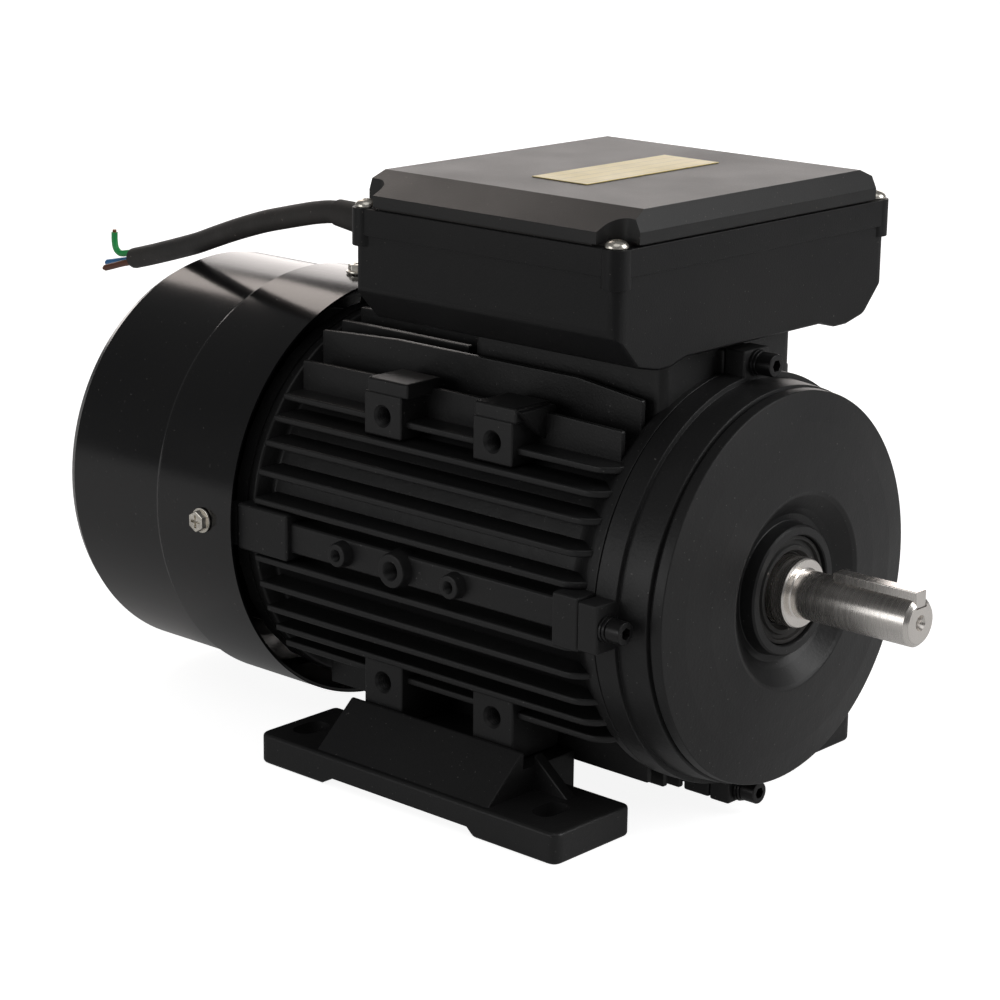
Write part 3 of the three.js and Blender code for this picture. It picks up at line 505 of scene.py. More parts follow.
def prism(outline, plane, low, high, bevel=0.0, segments=2):
    """An outline in the plane "xy", "yz" or "xz", carried along the third axis from low to high."""
    place = {
        "xy": lambda u, v, w: (u, v, w),
        "yz": lambda u, v, w: (w, u, v),
        "xz": lambda u, v, w: (u, w, v),
    }[plane]
    bm = bmesh.new()
    bottom = [bm.verts.new(place(u, v, low)) for u, v in outline]
    top = [bm.verts.new(place(u, v, high)) for u, v in outline]
    bm.faces.new(bottom[::-1])
    bm.faces.new(top)
    for k in range(len(outline)):
        m = (k + 1) % len(outline)
        bm.faces.new((bottom[k], bottom[m], top[m], top[k]))
    if bevel:
        bmesh.ops.recalc_face_normals(bm, faces=bm.faces)
        sharp = [e for e in bm.edges if e.calc_face_angle(0) > SHARP_OUTLINE]
        bmesh.ops.bevel(bm, geom=sharp, offset=bevel, segments=segments, profile=0.5, affect="EDGES",
                        clamp_overlap=True)
    return linked("prism", bm)


def block(x, y, z, bevel=0.6, segments=2):
    y, z = sorted(y), sorted(z)
    outline = [(x[0], y[0]), (x[1], y[0]), (x[1], y[1]), (x[0], y[1])]
    return prism(outline, "xy", z[0], z[1], bevel, segments)


def rod(start, end, radius, steps=SMALL, end_radius=None, bevel=0.0):
    """A round bar, cone or, with few steps, a prism bar between two points."""
    bm = bmesh.new()
    start, end = Vector(start), Vector(end)
    bmesh.ops.create_cone(bm, cap_ends=True, segments=steps, radius1=radius,
                          radius2=radius if end_radius is None else end_radius, depth=(end - start).length)
    if bevel:
        sharp = [e for e in bm.edges if e.calc_face_angle(0) > SHARP_ROD]
        bmesh.ops.bevel(bm, geom=sharp, offset=bevel, segments=2, profile=0.5, affect="EDGES",
                        clamp_overlap=True)
    turn = (end - start).to_track_quat("Z", "Y").to_matrix().to_4x4()
    bmesh.ops.transform(bm, matrix=Matrix.Translation((start + end) / 2) @ turn, verts=bm.verts)
    return linked("rod", bm)


def around_axis(obj, degrees):
    """Turns a piece about the motor's axis."""
    centre = Vector((0, 0, AXIS_Z * MM))
    turn = Matrix.Rotation(math.radians(degrees), 4, "X")
    obj.data.transform(Matrix.Translation(centre) @ turn @ Matrix.Translation(-centre))
    return obj


def baked(obj):
    """Applies the object's modifiers to its mesh."""
    bpy.context.view_layer.update()
    seen = obj.evaluated_get(bpy.context.evaluated_depsgraph_get())
    mesh = bpy.data.meshes.new_from_object(seen)
    obj.modifiers.clear()
    obj.data = mesh
    return obj


def combine(name, parts, cuts=()):
    """One closed mesh: the parts joined, then the cuts taken away."""
    base = parts[0]
    for operation, tools in (("UNION", parts[1:]), ("DIFFERENCE", cuts)):
        for tool in tools:
            step = base.modifiers.new("step", "BOOLEAN")
            step.operation = operation
            step.solver = "MANIFOLD"
            step.object = tool
    baked(base)
    for tool in [*parts[1:], *cuts]:
        bpy.data.objects.remove(tool)
    base.name = name
    base.data.name = name
    return base


def joined(name, parts):
    """Separate closed solids gathered in one object."""
    bm = bmesh.new()
    for part in parts:
        bm.from_mesh(part.data)
        bpy.data.objects.remove(part)
    mesh = bpy.data.meshes.new(name)
    bm.to_mesh(mesh)
    bm.free()
    obj = bpy.data.objects.new(name, mesh)
    bpy.context.scene.collection.objects.link(obj)
    return obj


def piece(obj, name, slot, body="stator", nodes=(), material=None, sharp=30):
    """Names a finished mesh, shades it, gives it its finish and puts it on its body."""
    obj.name = name
    mesh = obj.data
    mesh.materials.clear()
    mesh.materials.append(material or FINISHES[slot])
    mesh.shade_smooth()
    mesh.set_sharp_from_angle(angle=math.radians(sharp))
    weighted = obj.modifiers.new("even_normals", "WEIGHTED_NORMAL")
    weighted.keep_sharp = True
    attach(obj, body)
    if nodes:
        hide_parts(*nodes)
    return obj


def circle_depth(radius, offset):
    """Half the chord of a circle at an offset from its centre."""
    return math.sqrt(radius * radius - offset * offset)


# ---- mains lead ----
LEAD_DIAMETER = 0.009
CORE_DIAMETER = 0.0028
STRANDS_INSIDE, STRANDS_OUTSIDE, STRANDS_SHARE = 0.001, 0.0012, 0.62
LEAD_ROUTE = [
    (-0.0473, -0.04, 0.208), (-0.054, -0.0399, 0.2087), (-0.062, -0.0392, 0.2093),
    (-0.072, -0.0378, 0.2088), (-0.083, -0.0359, 0.2069), (-0.094, -0.0338, 0.2044),
    (-0.106, -0.0314, 0.2015), (-0.1184, -0.029, 0.1984), (-0.132, -0.0256, 0.1945),
    (-0.146, -0.022, 0.1902), (-0.161, -0.018, 0.1853), (-0.1764, -0.014, 0.1802),
    (-0.191, -0.0108, 0.1759), (-0.205, -0.008, 0.1719), (-0.218, -0.0054, 0.1683),
    (-0.229, -0.0035, 0.1654),
]
CORE_ROUTES = {
    "blue": [(-0.2285, -0.0016, 0.1644), (-0.236, -0.0008, 0.1634), (-0.245, 0.0006, 0.1614),
             (-0.254, 0.002, 0.1594)],
    "brown": [(-0.2285, -0.0054, 0.1641), (-0.236, -0.0052, 0.1622), (-0.242, -0.005, 0.1604),
              (-0.2475, -0.0048, 0.1588)],
    "green": [(-0.2288, -0.0035, 0.1679), (-0.234, -0.0034, 0.167), (-0.239, -0.0032, 0.1662),
              (-0.242, -0.0031, 0.1678), (-0.243, -0.003, 0.171), (-0.243, -0.003, 0.175)],
}


def smooth_route(route, steps=6):
    """Points along a Catmull-Rom curve through the route."""
    points = [Vector(p) for p in route]
    ends = [2 * points[0] - points[1], *points, 2 * points[-1] - points[-2]]
    result = []
    for a, b, c, d in zip(ends, ends[1:], ends[2:], ends[3:]):
        for k in range(steps):
            t = k / steps
            result.append(0.5 * (2 * b + (c - a) * t + (2 * a - 5 * b + 4 * c - d) * t ** 2
                                 + (3 * b - a - 3 * c + d) * t ** 3))
    return [*result, points[-1]]


def round_curve(name, points, diameter):
    data = bpy.data.curves.new(name, "CURVE")
    data.dimensions = "3D"
    data.bevel_depth = diameter / 2
    data.bevel_resolution = 6
    data.use_fill_caps = True
    spline = data.splines.new("POLY")
    spline.points.add(len(points) - 1)
    for target, point in zip(spline.points, points):
        target.co = (*point, 1)
    spline.use_smooth = True
    curve = bpy.data.objects.new(name, data)
    bpy.context.scene.collection.objects.link(curve)
    return curve


def add_lead():
    for colour, route in CORE_ROUTES.items():
        points = smooth_route(route)
        core = round_curve(f"lead_core_{colour}_fine", points, CORE_DIAMETER)
        core.data.materials.append(FINISHES[f"{colour}_core"])
        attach(core, "stator")
        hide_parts(f"lead_core_{colour}")
        forward = (points[-1] - points[-2]).normalized()
        strand_ends = [points[-1] - forward * STRANDS_INSIDE, points[-1] + forward * STRANDS_OUTSIDE]
        strands = round_curve(f"copper_strands_{colour}", strand_ends, CORE_DIAMETER * STRANDS_SHARE)
        strands.data.materials.append(FINISHES["copper"])
        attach(strands, "stator")
    points = smooth_route(LEAD_ROUTE)
    lead = round_curve("mains_lead_sheath", points, LEAD_DIAMETER)
    lead.data.materials.append(FINISHES["black_rubber"])
    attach(lead, "stator")
    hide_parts("mains_lead")


add_lead()


# ---- ribbed housing ----
FIN_HEIGHTS = (11.5, 22.5, 33.3, 42.3, 50)
FIN_RADIUS, FIN_ROOT, FIN_THICKNESS = 82, 69.5, 2.7
HOUSING_REAR, HOUSING_FRONT = -80, 96.5
FIN_REAR, FIN_FRONT = -72, 93.5
DRUM, FLANGE, BORE = 70.5, 77.5, 65
INNER_PLATE = {"y": 42.4, "top": 165.3, "fall": 3.6}
OUTER_PLATE = {"y": 53.2, "top": 153.2, "fall": 0.8}
PLATE_THICKNESS, PLATE_FRONT = 2.4, 88.5
PAD_X = (-15, 41.2)
PAD_OFFSET = 52.3
PAD_FACE = 68
UPPER_PAD_X = (-15.6, 39.5)
PAD_CAPS = ((-23.5, -2.5), (30.7, 51))
BOTTOM_SPACING, TOP_SPACING, TOP_FIN_FRONT = 9.5, 10.6, -4
UPRIGHT_HALF = 1.4
FIN_NOSE = 9
LOWER_PAD = {"half": 10, "root": 41.5, "top": 49, "bolt": 4.1, "depth": 15}
UPPER_PAD = {"half": 9.6, "root": 44, "z": (134.2, 151), "cap_root": 49, "cap_z": (150.6, 156.4)}
TAPPED = {"radius": 3.4, "depth": 14, "mouth": 4.6}
MID_RIB_Y, MID_RIB_Z = (66, 80.5), (84, 96)
BOSS_ROOT, BOSS_FACE, BOSS_DRAFT = 76, 85, 1.2
SHIELD_LUG = {"rear": 84.5, "reach": (66, 86), "half_side": 10, "half_top": 7.5, "hole": 2.8}
COWL_LUG = {"front": -52, "reach": (66, 83), "z": (80.5, 99)}
WIRE_HOLE_X, WIRE_HOLE = 48, 14
BOSSES = ((-23.5, 4.5, 2.1), (5, 6.5, 3.4), (34, 4.5, 2.1))


def side_fin(side, height):
    """A level fin with a rounded nose at the drive end."""
    inner = circle_depth(FIN_ROOT, height)
    outer = circle_depth(FIN_RADIUS, height)
    outline = [(FIN_REAR, inner), (FIN_REAR, outer)]
    for step in range(6):
        turn = math.radians(90 - 15 * step)
        outline.append((FIN_FRONT - FIN_NOSE + FIN_NOSE * math.cos(turn),
                        outer - FIN_NOSE + FIN_NOSE * math.sin(turn)))
    outline.append((FIN_FRONT, inner))
    z = AXIS_Z + height - FIN_THICKNESS / 2
    return prism([(x, side * y) for x, y in outline], "xy", z, z + FIN_THICKNESS, 0.8, 3)


def upright_fin(y, up, front):
    """A fin standing above or hanging below the drum."""
    inner = circle_depth(FIN_ROOT, y)
    outer = circle_depth(FIN_RADIUS, y)
    heights = (inner, outer) if up else (-outer, -inner)
    return block((FIN_REAR, front), (y - UPRIGHT_HALF, y + UPRIGHT_HALF), [AXIS_Z + h for h in heights], 0.7)


def top_plate(side, plate, foot):
    """A long upright plate beside the terminal box, lower towards both ends."""
    top, fall = plate["top"], plate["fall"]
    outline = rounded([(FIN_REAR, foot), (FIN_REAR, top - fall * 0.6), (FIN_REAR + 40, top),
                       (PLATE_FRONT - 30, top), (PLATE_FRONT, top - fall), (PLATE_FRONT, foot)],
                      [0, 1, 30, 30, 1, 0], 6)
    half = PLATE_THICKNESS / 2
    return prism(outline, "xz", side * plate["y"] - half, side * plate["y"] + half, 0.6, 2)


def threaded_hole(start, end, radius, pitch=1.25):
    """A cutter with a row of shallow thread grooves."""
    start, end = Vector(start), Vector(end)
    turns = int((end - start).length / pitch)
    profile = [(0.0, 0.0), (0.0, radius)]
    for k in range(turns):
        profile += [(k * pitch + pitch * 0.5, radius + 0.45), ((k + 1) * pitch, radius)]
    profile.append((profile[-1][0] + radius * 0.5, 0.0))
    cutter = spun(profile, 20)
    turn = (end - start).to_track_quat("Z", "Y").to_matrix().to_4x4()
    bmesh.ops.transform(cutter, matrix=Matrix.Translation(start) @ turn, verts=cutter.verts)
    return linked("thread", cutter)


def tapped(x, side, height):
    """A threaded hole in a pad's face, with a chamfered mouth."""
    face = side * PAD_FACE
    end = (x, face - side * TAPPED["depth"], height)
    return [threaded_hole((x, face + side * 0.3, height), end, TAPPED["radius"]),
            rod((x, face + side * 0.2, height), (x, face - side * 1.0, height), TAPPED["mouth"], SMALL,
                TAPPED["radius"])]


def lower_pad(x, side):
    low = AXIS_Z - PAD_FACE
    half, root = LOWER_PAD["half"], LOWER_PAD["root"]
    pad = block((x - half, x + half), (side * root, side * PAD_FACE), (low, LOWER_PAD["top"]), 1.0, 3)
    bolt_hole = rod((x, side * PAD_OFFSET, low - 1), (x, side * PAD_OFFSET, low + LOWER_PAD["depth"]),
                    LOWER_PAD["bolt"])
    return [pad], [*tapped(x, side, AXIS_Z - PAD_OFFSET), bolt_hole]


def upper_pad(index, side):
    """A pad and its cap, high on the side."""
    x = UPPER_PAD_X[index]
    cap_rear, cap_front = PAD_CAPS[index]
    half, root, cap_root = UPPER_PAD["half"], UPPER_PAD["root"], UPPER_PAD["cap_root"]
    parts = [
        block((x - half, x + half), (side * root, side * PAD_FACE), UPPER_PAD["z"], 0.9, 3),
        block((cap_rear, cap_front), (side * cap_root, side * (PAD_FACE + 0.2)), UPPER_PAD["cap_z"], 1.1, 3),
    ]
    if index == 1:
        web = [(PAD_FACE, 155.4), (49, 155.4), (49, 140), (53.5, 143), (58, 146)]
        parts.append(prism([(side * u, v) for u, v in web], "yz", x, cap_front + 2.5, 0.6))
    return parts, tapped(x, side, AXIS_Z + PAD_OFFSET)


def pedestal():
    low = node_box("terminal_box_base")[0]
    outline = rounded([(2, -38), (94, -38), (94, 38), (2, 38)], 5, 4)
    return prism(outline, "xy", 135, low.z + 2.1, 0.8)


def add_housing():
    rear, front = HOUSING_REAR, HOUSING_FRONT
    tube = rounded([
        (rear, BORE), (rear, FLANGE), (rear + 4, FLANGE), (rear + 7, DRUM), (front - 14, DRUM),
        (front - 5, FLANGE - 0.4), (front, FLANGE), (front, BORE),
    ], [0.3, 1, 1.5, 2, 8, 5, 0.5, 0.3], 4)
    parts = [lathe(tube, 120), pedestal()]
    cuts = [rod((WIRE_HOLE_X, 0, 150), (WIRE_HOLE_X, 0, 190), WIRE_HOLE)]
    drum_foot = AXIS_Z + circle_depth(FIN_ROOT, INNER_PLATE["y"])
    for side in SIDES:
        for height in FIN_HEIGHTS:
            parts += [side_fin(side, height), side_fin(side, -height)]
        parts.append(top_plate(side, INNER_PLATE, drum_foot))
        parts.append(top_plate(side, OUTER_PLATE, AXIS_Z + FIN_HEIGHTS[-1]))
        parts.append(block((FIN_REAR, FIN_FRONT - 1), [side * y for y in MID_RIB_Y], MID_RIB_Z, 1.4, 3))
        for x, radius, hole in BOSSES:
            root, face = (x, side * BOSS_ROOT, AXIS_Z), (x, side * BOSS_FACE, AXIS_Z)
            parts.append(rod(root, face, radius + BOSS_DRAFT, SMALL, radius, 0.8))
            mouth, end = (x, side * (BOSS_FACE + 0.4), AXIS_Z), (x, side * (BOSS_ROOT - 2), AXIS_Z)
            cuts.append(threaded_hole(mouth, end, hole, 0.9))
        for index in (0, 1):
            for pad_parts, pad_cuts in (lower_pad(PAD_X[index], side), upper_pad(index, side)):
                parts += pad_parts
                cuts += pad_cuts
    parts += [upright_fin(n * BOTTOM_SPACING, False, FIN_FRONT - 1) for n in range(-4, 5)]
    parts += [upright_fin(n * TOP_SPACING, True, TOP_FIN_FRONT) for n in range(-3, 4)]
    for angle in QUARTERS.values():
        half = SHIELD_LUG["half_side"] if angle % 180 == 0 else SHIELD_LUG["half_top"]
        heights = (AXIS_Z - half, AXIS_Z + half)
        front_lug = block((SHIELD_LUG["rear"], front), SHIELD_LUG["reach"], heights, 1.0, 3)
        rear_lug = block((rear + 0.5, COWL_LUG["front"]), COWL_LUG["reach"], COWL_LUG["z"], 1.2, 3)
        hole = rod((SHIELD_LUG["rear"] - 1.5, SCREW_CIRCLE, AXIS_Z), (front + 1.5, SCREW_CIRCLE, AXIS_Z),
                   SHIELD_LUG["hole"], 20)
        parts += [around_axis(front_lug, angle), around_axis(rear_lug, angle)]
        cuts.append(around_axis(hole, angle))
    cuts.append(lathe([(rear - 1, 0), (rear - 1, BORE), (front + 1, BORE), (front + 1, 0)], 96))
    piece(combine("housing", parts, cuts), "ribbed_housing", "black_paint", nodes=["frame_housing"])


add_housing()


# ---- feet ----
FOOT_INNER, FOOT_OUTER = 49, 91
FOOT_THICKNESS, FOOT_SEAT, FOOT_LIP = 12.3, 21.7, 28.5
FOOT_LIP_Y, FOOT_SEAT_Y = 70, 68.8
FOOT_WEB_REAR, FOOT_WEB_FRONT = -30, 58
FOOT_RIBS = ((57, 17), (-29, -15))
FOOT_RIB_Y, FOOT_RIB_HALF = 60, 2.5
SLOT_X, SLOT_Y = (-48.7, 75.3), 73.5
SLOT_RADIUS, SLOT_HALF_TRAVEL = 5, 3
BOLT_SHANK, BOLT_HEAD, BOLT_HEAD_DEPTH = 4.6, 8, 12


def add_foot(side, node):
    low, high = node_box(node)
    rear, front = low.x, high.x
    inner, outer = FOOT_INNER, FOOT_OUTER
    thickness, seat, lip = FOOT_THICKNESS, FOOT_SEAT, FOOT_LIP
    outline = rounded([(rear, inner), (rear, outer), (front, outer), (front, inner)], [3, 4.5, 4.5, 3], 5)
    parts = [prism([(x, side * y) for x, y in outline], "xy", 0, thickness, 1.6, 4)]
    web = [(outer - 1.8, 4), (outer - 1.8, thickness - 0.6), (FOOT_LIP_Y, lip), (FOOT_SEAT_Y, lip),
           (FOOT_SEAT_Y, seat), (40, seat), (40, 4)]
    parts.append(prism([(side * y, z) for y, z in web], "yz", FOOT_WEB_REAR, FOOT_WEB_FRONT, 0.5, 2))
    for x, reach in FOOT_RIBS:
        rib = [(x, 4), (x + reach, 4), (x + reach, thickness), (x, seat + 4)]
        middle = side * FOOT_RIB_Y
        parts.append(prism(rib, "xz", middle - FOOT_RIB_HALF, middle + FOOT_RIB_HALF, 0.8))
    cuts = [prism([(-27, -1), (-26, 0), (-20, 3.6), (50, 3.6), (54, 0), (55, -1)], "xz", -100, 100)]
    for x in SLOT_X:
        slot_outline = []
        for end, start in ((1, 0), (-1, 180)):
            for step in range(9):
                turn = math.radians(start + 22.5 * step)
                slot_outline.append((x + SLOT_RADIUS * math.cos(turn),
                                     side * SLOT_Y + end * SLOT_HALF_TRAVEL + SLOT_RADIUS * math.sin(turn)))
        cuts.append(prism(slot_outline, "xy", -2, 20))
    for x in PAD_X:
        cuts.append(rod((x, side * PAD_OFFSET, -1), (x, side * PAD_OFFSET, 30), BOLT_SHANK))
        cuts.append(rod((x, side * PAD_OFFSET, -1), (x, side * PAD_OFFSET, BOLT_HEAD_DEPTH), BOLT_HEAD))
    piece(combine("foot", parts, cuts), f"{node}_cast", "black_paint", nodes=[node])


add_foot(-1, "foot_left")
add_foot(1, "foot_right")


# ---- end shields ----
EAR = {"x": (96.8, 105.8), "reach": (74, 86.5), "half_side": 9, "half_top": 7.3, "hole": 2.9}


def add_drive_end_shield():
    profile = [
        (90, 60), (90, 64.6), (96.8, 64.6), (96.8, 77.5), (105.8, 77.2), (105.8, 75.3), (117.6, 74.2),
        (117.9, 72.2), (118.9, 72.2), (119.2, 73.5), (123.4, 73.2), (125.4, 62), (127, 49), (128, 37.2),
        (127.2, 35.6), (122.6, 30), (121, 27.6), (120.4, 24.9), (125.6, 24.3), (126.3, 23.6), (126.3, 20.9),
        (125.8, 20.5), (115.6, 20.5), (115.6, 26.2), (100, 26.2), (100, 32), (116, 38), (114, 66), (98, 62),
    ]
    bends = {3: 0.5, 4: 0.5, 6: 0.6, 9: 0.35, 10: 0.8, 11: 9, 12: 9, 13: 1.6, 14: 1.4, 15: 3, 16: 1,
             17: 0.5, 18: 0.5}
    parts = [lathe(rounded(profile, [bends.get(k, 0.2) for k in range(len(profile))], 3))]
    cuts = []
    for angle in QUARTERS.values():
        half = EAR["half_side"] if angle % 180 == 0 else EAR["half_top"]
        ear = block(EAR["x"], EAR["reach"], (AXIS_Z - half, AXIS_Z + half), 0.9, 3)
        parts.append(around_axis(ear, angle))
        hole = rod((96, SCREW_CIRCLE, AXIS_Z), (107, SCREW_CIRCLE, AXIS_Z), EAR["hole"], 20)
        cuts.append(around_axis(hole, angle))
    piece(combine("shield", parts, cuts), "drive_end_shield_cast", "black_paint", nodes=["drive_end_shield"],
          sharp=24)


def add_seal():
    low, high = node_box("shaft_seal")
    rear, front, outer, inner = low.x, high.x, 20.1, 13.3
    profile = rounded([
        (rear, inner), (rear, outer), (front, outer), (front, outer - 1.4), (front - 1.2, outer - 1.8),
        (front - 1.2, outer - 3.2), (front - 0.2, outer - 3.6), (front - 0.2, inner + 1.6),
        (front - 2.5, inner + 0.5), (front - 2.5, inner),
    ], 0.25, 2)
    piece(lathe(profile, 96), "lip_seal", "black_rubber", nodes=["shaft_seal"])


add_drive_end_shield()
add_seal()


# ---- fan cowl ----
COWL_RADIUS, COWL_REAR_RADIUS, COWL_SHEET = 86.5, 84.3, 1.3
GRILLE_RINGS = ((24, 36), (42, 54), (60, 72))
GRILLE_SPOKE_HALF, GRILLE_BAR_HALF = 2.5, 1.2


def add_cowl():
    low, high = node_box("fan_cowl")
    front, rear = high.x, low.x
    radius, rear_radius, sheet = COWL_RADIUS, COWL_REAR_RADIUS, COWL_SHEET
    outer = [(rear, 0), (rear, 78.6), (rear + 1.4, 82.4), (rear + 5.2, rear_radius), (-125.4, rear_radius),
             (-123.6, 84.9), (-122.2, 86.1), (-121.4, radius), (front + 0.4, radius), (front, radius - 0.4)]
    inner = [(front, radius - sheet), (-121.2, radius - sheet), (-124.6, rear_radius - sheet),
             (rear + 5.4, rear_radius - sheet), (rear + sheet + 0.6, 79), (rear + sheet, 76),
             (rear + sheet, 0)]
    parts = [lathe(outer + inner)]
    spokes = []
    for n in range(3):
        spoke = block((rear - 3, rear + 4), (-90, 90),
                      (AXIS_Z - GRILLE_SPOKE_HALF, AXIS_Z + GRILLE_SPOKE_HALF), 0)
        spokes.append(around_axis(spoke, n * 60))
    windows = []
    for inside, outside in GRILLE_RINGS:
        middle = (inside + outside) / 2
        for a, b in ((inside, middle - GRILLE_BAR_HALF), (middle + GRILLE_BAR_HALF, outside)):
            windows.append(lathe([(rear - 1, a), (rear - 1, b), (rear + 3, b), (rear + 3, a)], 96))
    cutter = combine("windows", [joined("windows", windows)], spokes)
    piece(combine("cowl", parts, [cutter]), "fan_cowl_sheet", "gloss_sheet", nodes=["fan_cowl"], sharp=26)


add_cowl()


# ---- terminal box ----
BOX_REAR, BOX_FRONT, BOX_HALF = -20, 105.5, 79
BOX_BOTTOM, BOX_RIM, BOX_TOP, BOX_WALL = 179.5, 212, 222, 3
LID_BOTTOM, LID_CREASE, LID_TOP = 222.8, 227, 234
NOTCH_RADIUS, NOTCH_REACH = 6.4, 12
BOX_SCREWS = [(x, side * 75.8) for x in (-16.2, 101.7) for side in SIDES]


def plate_outline(rear, front, half, corner, steps=5):
    """A rectangle with rounded corners, about the motor's middle plane."""
    return rounded([(rear, -half), (front, -half), (front, half), (rear, half)], corner, steps)


def box_section(inset, top):
    """The terminal box from the end, drawn in by inset."""
    w = BOX_HALF - inset
    low = BOX_BOTTOM + inset
    half = [(w, top), (w, 192 + inset * 0.5), (67 - inset * 0.5, low), (56, low - 2.4), (49, low - 2.4),
            (40, low)]
    return [(-y, z) for y, z in half] + [(y, z) for y, z in reversed(half)]


def add_box():
    section = rounded(box_section(0, BOX_TOP), [0, 5, 5, 3, 3, 3, 3, 3, 3, 5, 5, 0], 4)
    body = prism(section, "yz", BOX_REAR, BOX_FRONT, 1.4, 3)
    envelope = prism(plate_outline(BOX_REAR, BOX_FRONT, BOX_HALF, 5), "xy", 170, BOX_TOP)
    trim = body.modifiers.new("corners", "BOOLEAN")
    trim.operation = "INTERSECT"
    trim.solver = "MANIFOLD"
    trim.object = envelope
    baked(body)
    bpy.data.objects.remove(envelope)
    rim = prism(plate_outline(BOX_REAR - 1, BOX_FRONT + 1, BOX_HALF + 1, 5), "xy", BOX_RIM, BOX_TOP, 0.5)
    bosses = [rod((x, y, BOX_RIM - 4), (x, y, BOX_TOP), 5.2, 40, None, 0.3) for x, y in BOX_SCREWS]
    cavity = prism(box_section(BOX_WALL, BOX_TOP + 2), "yz", BOX_REAR + BOX_WALL, BOX_FRONT - BOX_WALL)
    holes = [rod((x, y, BOX_RIM - 1), (x, y, BOX_TOP + 1), 2.2, 20) for x, y in BOX_SCREWS]
    holes.append(rod((-22, -40, 208), (-15, -40, 208), 8.4))
    holes.append(rod((WIRE_HOLE_X, 0, 170), (WIRE_HOLE_X, 0, 190), WIRE_HOLE))
    piece(combine("box", [body, rim, *bosses], [cavity, *holes]), "terminal_box_moulding", "black_plastic",
          nodes=["terminal_box_base"])


def add_lid():
    lip = prism(plate_outline(BOX_REAR - 1, BOX_FRONT + 1, BOX_HALF, 3), "xy", LID_BOTTOM, LID_CREASE)
    bm = bmesh.new()
    levels = ((BOX_REAR - 1, BOX_FRONT + 1, BOX_HALF, LID_CREASE - 0.01), (-18.7, 103.1, 63.4, LID_TOP))
    rings = []
    for rear, front, half, z in levels:
        corners = ((rear, -half), (front, -half), (front, half), (rear, half))
        rings.append([bm.verts.new((x, y, z)) for x, y in corners])
    bm.faces.new(rings[0][::-1])
    bm.faces.new(rings[1])
    for k in range(4):
        m = (k + 1) % 4
        bm.faces.new((rings[0][k], rings[0][m], rings[1][m], rings[1][k]))
    slope = linked("slope", bm)
    notches = []
    span = (LID_BOTTOM - 1, LID_TOP + 1)
    for x, y in BOX_SCREWS:
        dx, dy = math.copysign(1, x - 40), math.copysign(1, y)
        near, far = NOTCH_RADIUS, NOTCH_REACH
        notches.append(rod((x, y, span[0]), (x, y, span[1]), near, 40))
        notches.append(block(sorted((x - dx * near, x + dx * far)), (y, y + dy * far), span, 0))
        notches.append(block(sorted((x, x + dx * far)), (y - dy * near, y + dy * far), span, 0))
    lid = combine("lid", [lip, slope], notches)
    soften = lid.modifiers.new("soften", "BEVEL")
    soften.width = 0.8 * MM
    soften.segments = 3
    soften.limit_method = "ANGLE"
    soften.angle_limit = math.radians(20)
    baked(lid)
    piece(lid, "terminal_box_lid_moulding", "black_plastic", nodes=["terminal_box_lid"], material=LID_PLASTIC)


add_box()
add_lid()


# ---- shaft and screws ----
def add_shaft():
    low, high = node_box("shaft")
    tip, tail = high.x, low.x
    profile = [
        (tail, 0), (tail, 9), (tail + 1, 10), (-105, 10), (-104.5, 12.35), (-86.8, 12.35), (-86.5, 15),
        (99.6, 15), (100, 12.35), (115.8, 12.35), (116, 13), (130.2, 13), (130.8, 12.6), (131, 12),
        (131, 9.6), (131.4, 9), (tip - 1.5, 9), (tip - 0.3, 7.9), (tip, 7.5), (tip, 2.9), (178.6, 1.7),
        (171, 1.7), (170, 0),
    ]
    key_low, key_high = node_box("shaft_key")
    play = 0.15
    keyway = block((key_low.x - 0.3, tip + 1), (key_low.y - play, key_high.y + play),
                   (key_low.z - play, 110), 0)
    shaft = combine("shaft", [lathe(profile, 96)], [keyway])
    piece(shaft, "turned_shaft", "bright_steel", "rotor", ["shaft"], sharp=24)
    key = block((key_low.x, key_high.x), (key_low.y, key_high.y), (key_low.z, key_high.z), 0.35, 2)
    piece(key, "parallel_key", "bright_steel", "rotor", ["shaft_key"])


SOCKET_SCREW_SEAT = 106.1
SOCKET_SCREW = (
    # start and end from the seat, radius, sides, rounded edge: shank, plain washer, spring washer, head
    (-20, 4, 2.5, 24, 0.0), (0, 1, 5, 40, 0.2), (0.9, 2.3, 4.6, 40, 0.35), (2.2, 8.6, 4.25, 48, 0.6),
)
HEX_SOCKET = (5.8, 9.5, 2.3, 6, 0.0)
COWL_SCREW_X, COWL_SCREW_SEAT = -95.5, 86.8
CROSS_HALF_LENGTH, CROSS_HALF_WIDTH = 2.6, 0.55
PAN_HEAD = ((0, 0), (0, 4.1), (0.7, 4.1), (1.5, 3.6), (2.1, 2.8), (2.45, 1.6), (2.55, 0))
PAN_SHANK, PAN_CROSS_HALF_LENGTH, PAN_CROSS_HALF_WIDTH = 1.8, 1.9, 0.45


def add_front_screw(place, angle):
    seat = SOCKET_SCREW_SEAT

    def bar(start, end, radius, steps, bevel):
        return rod((seat + start, SCREW_CIRCLE, AXIS_Z), (seat + end, SCREW_CIRCLE, AXIS_Z), radius, steps,
                   None, bevel)

    screw = combine("screw", [bar(*step) for step in SOCKET_SCREW], [bar(*HEX_SOCKET)])
    piece(around_axis(screw, angle), f"socket_screw_{place}", "black_steel",
          nodes=[f"front_shield_screw_{place}"])


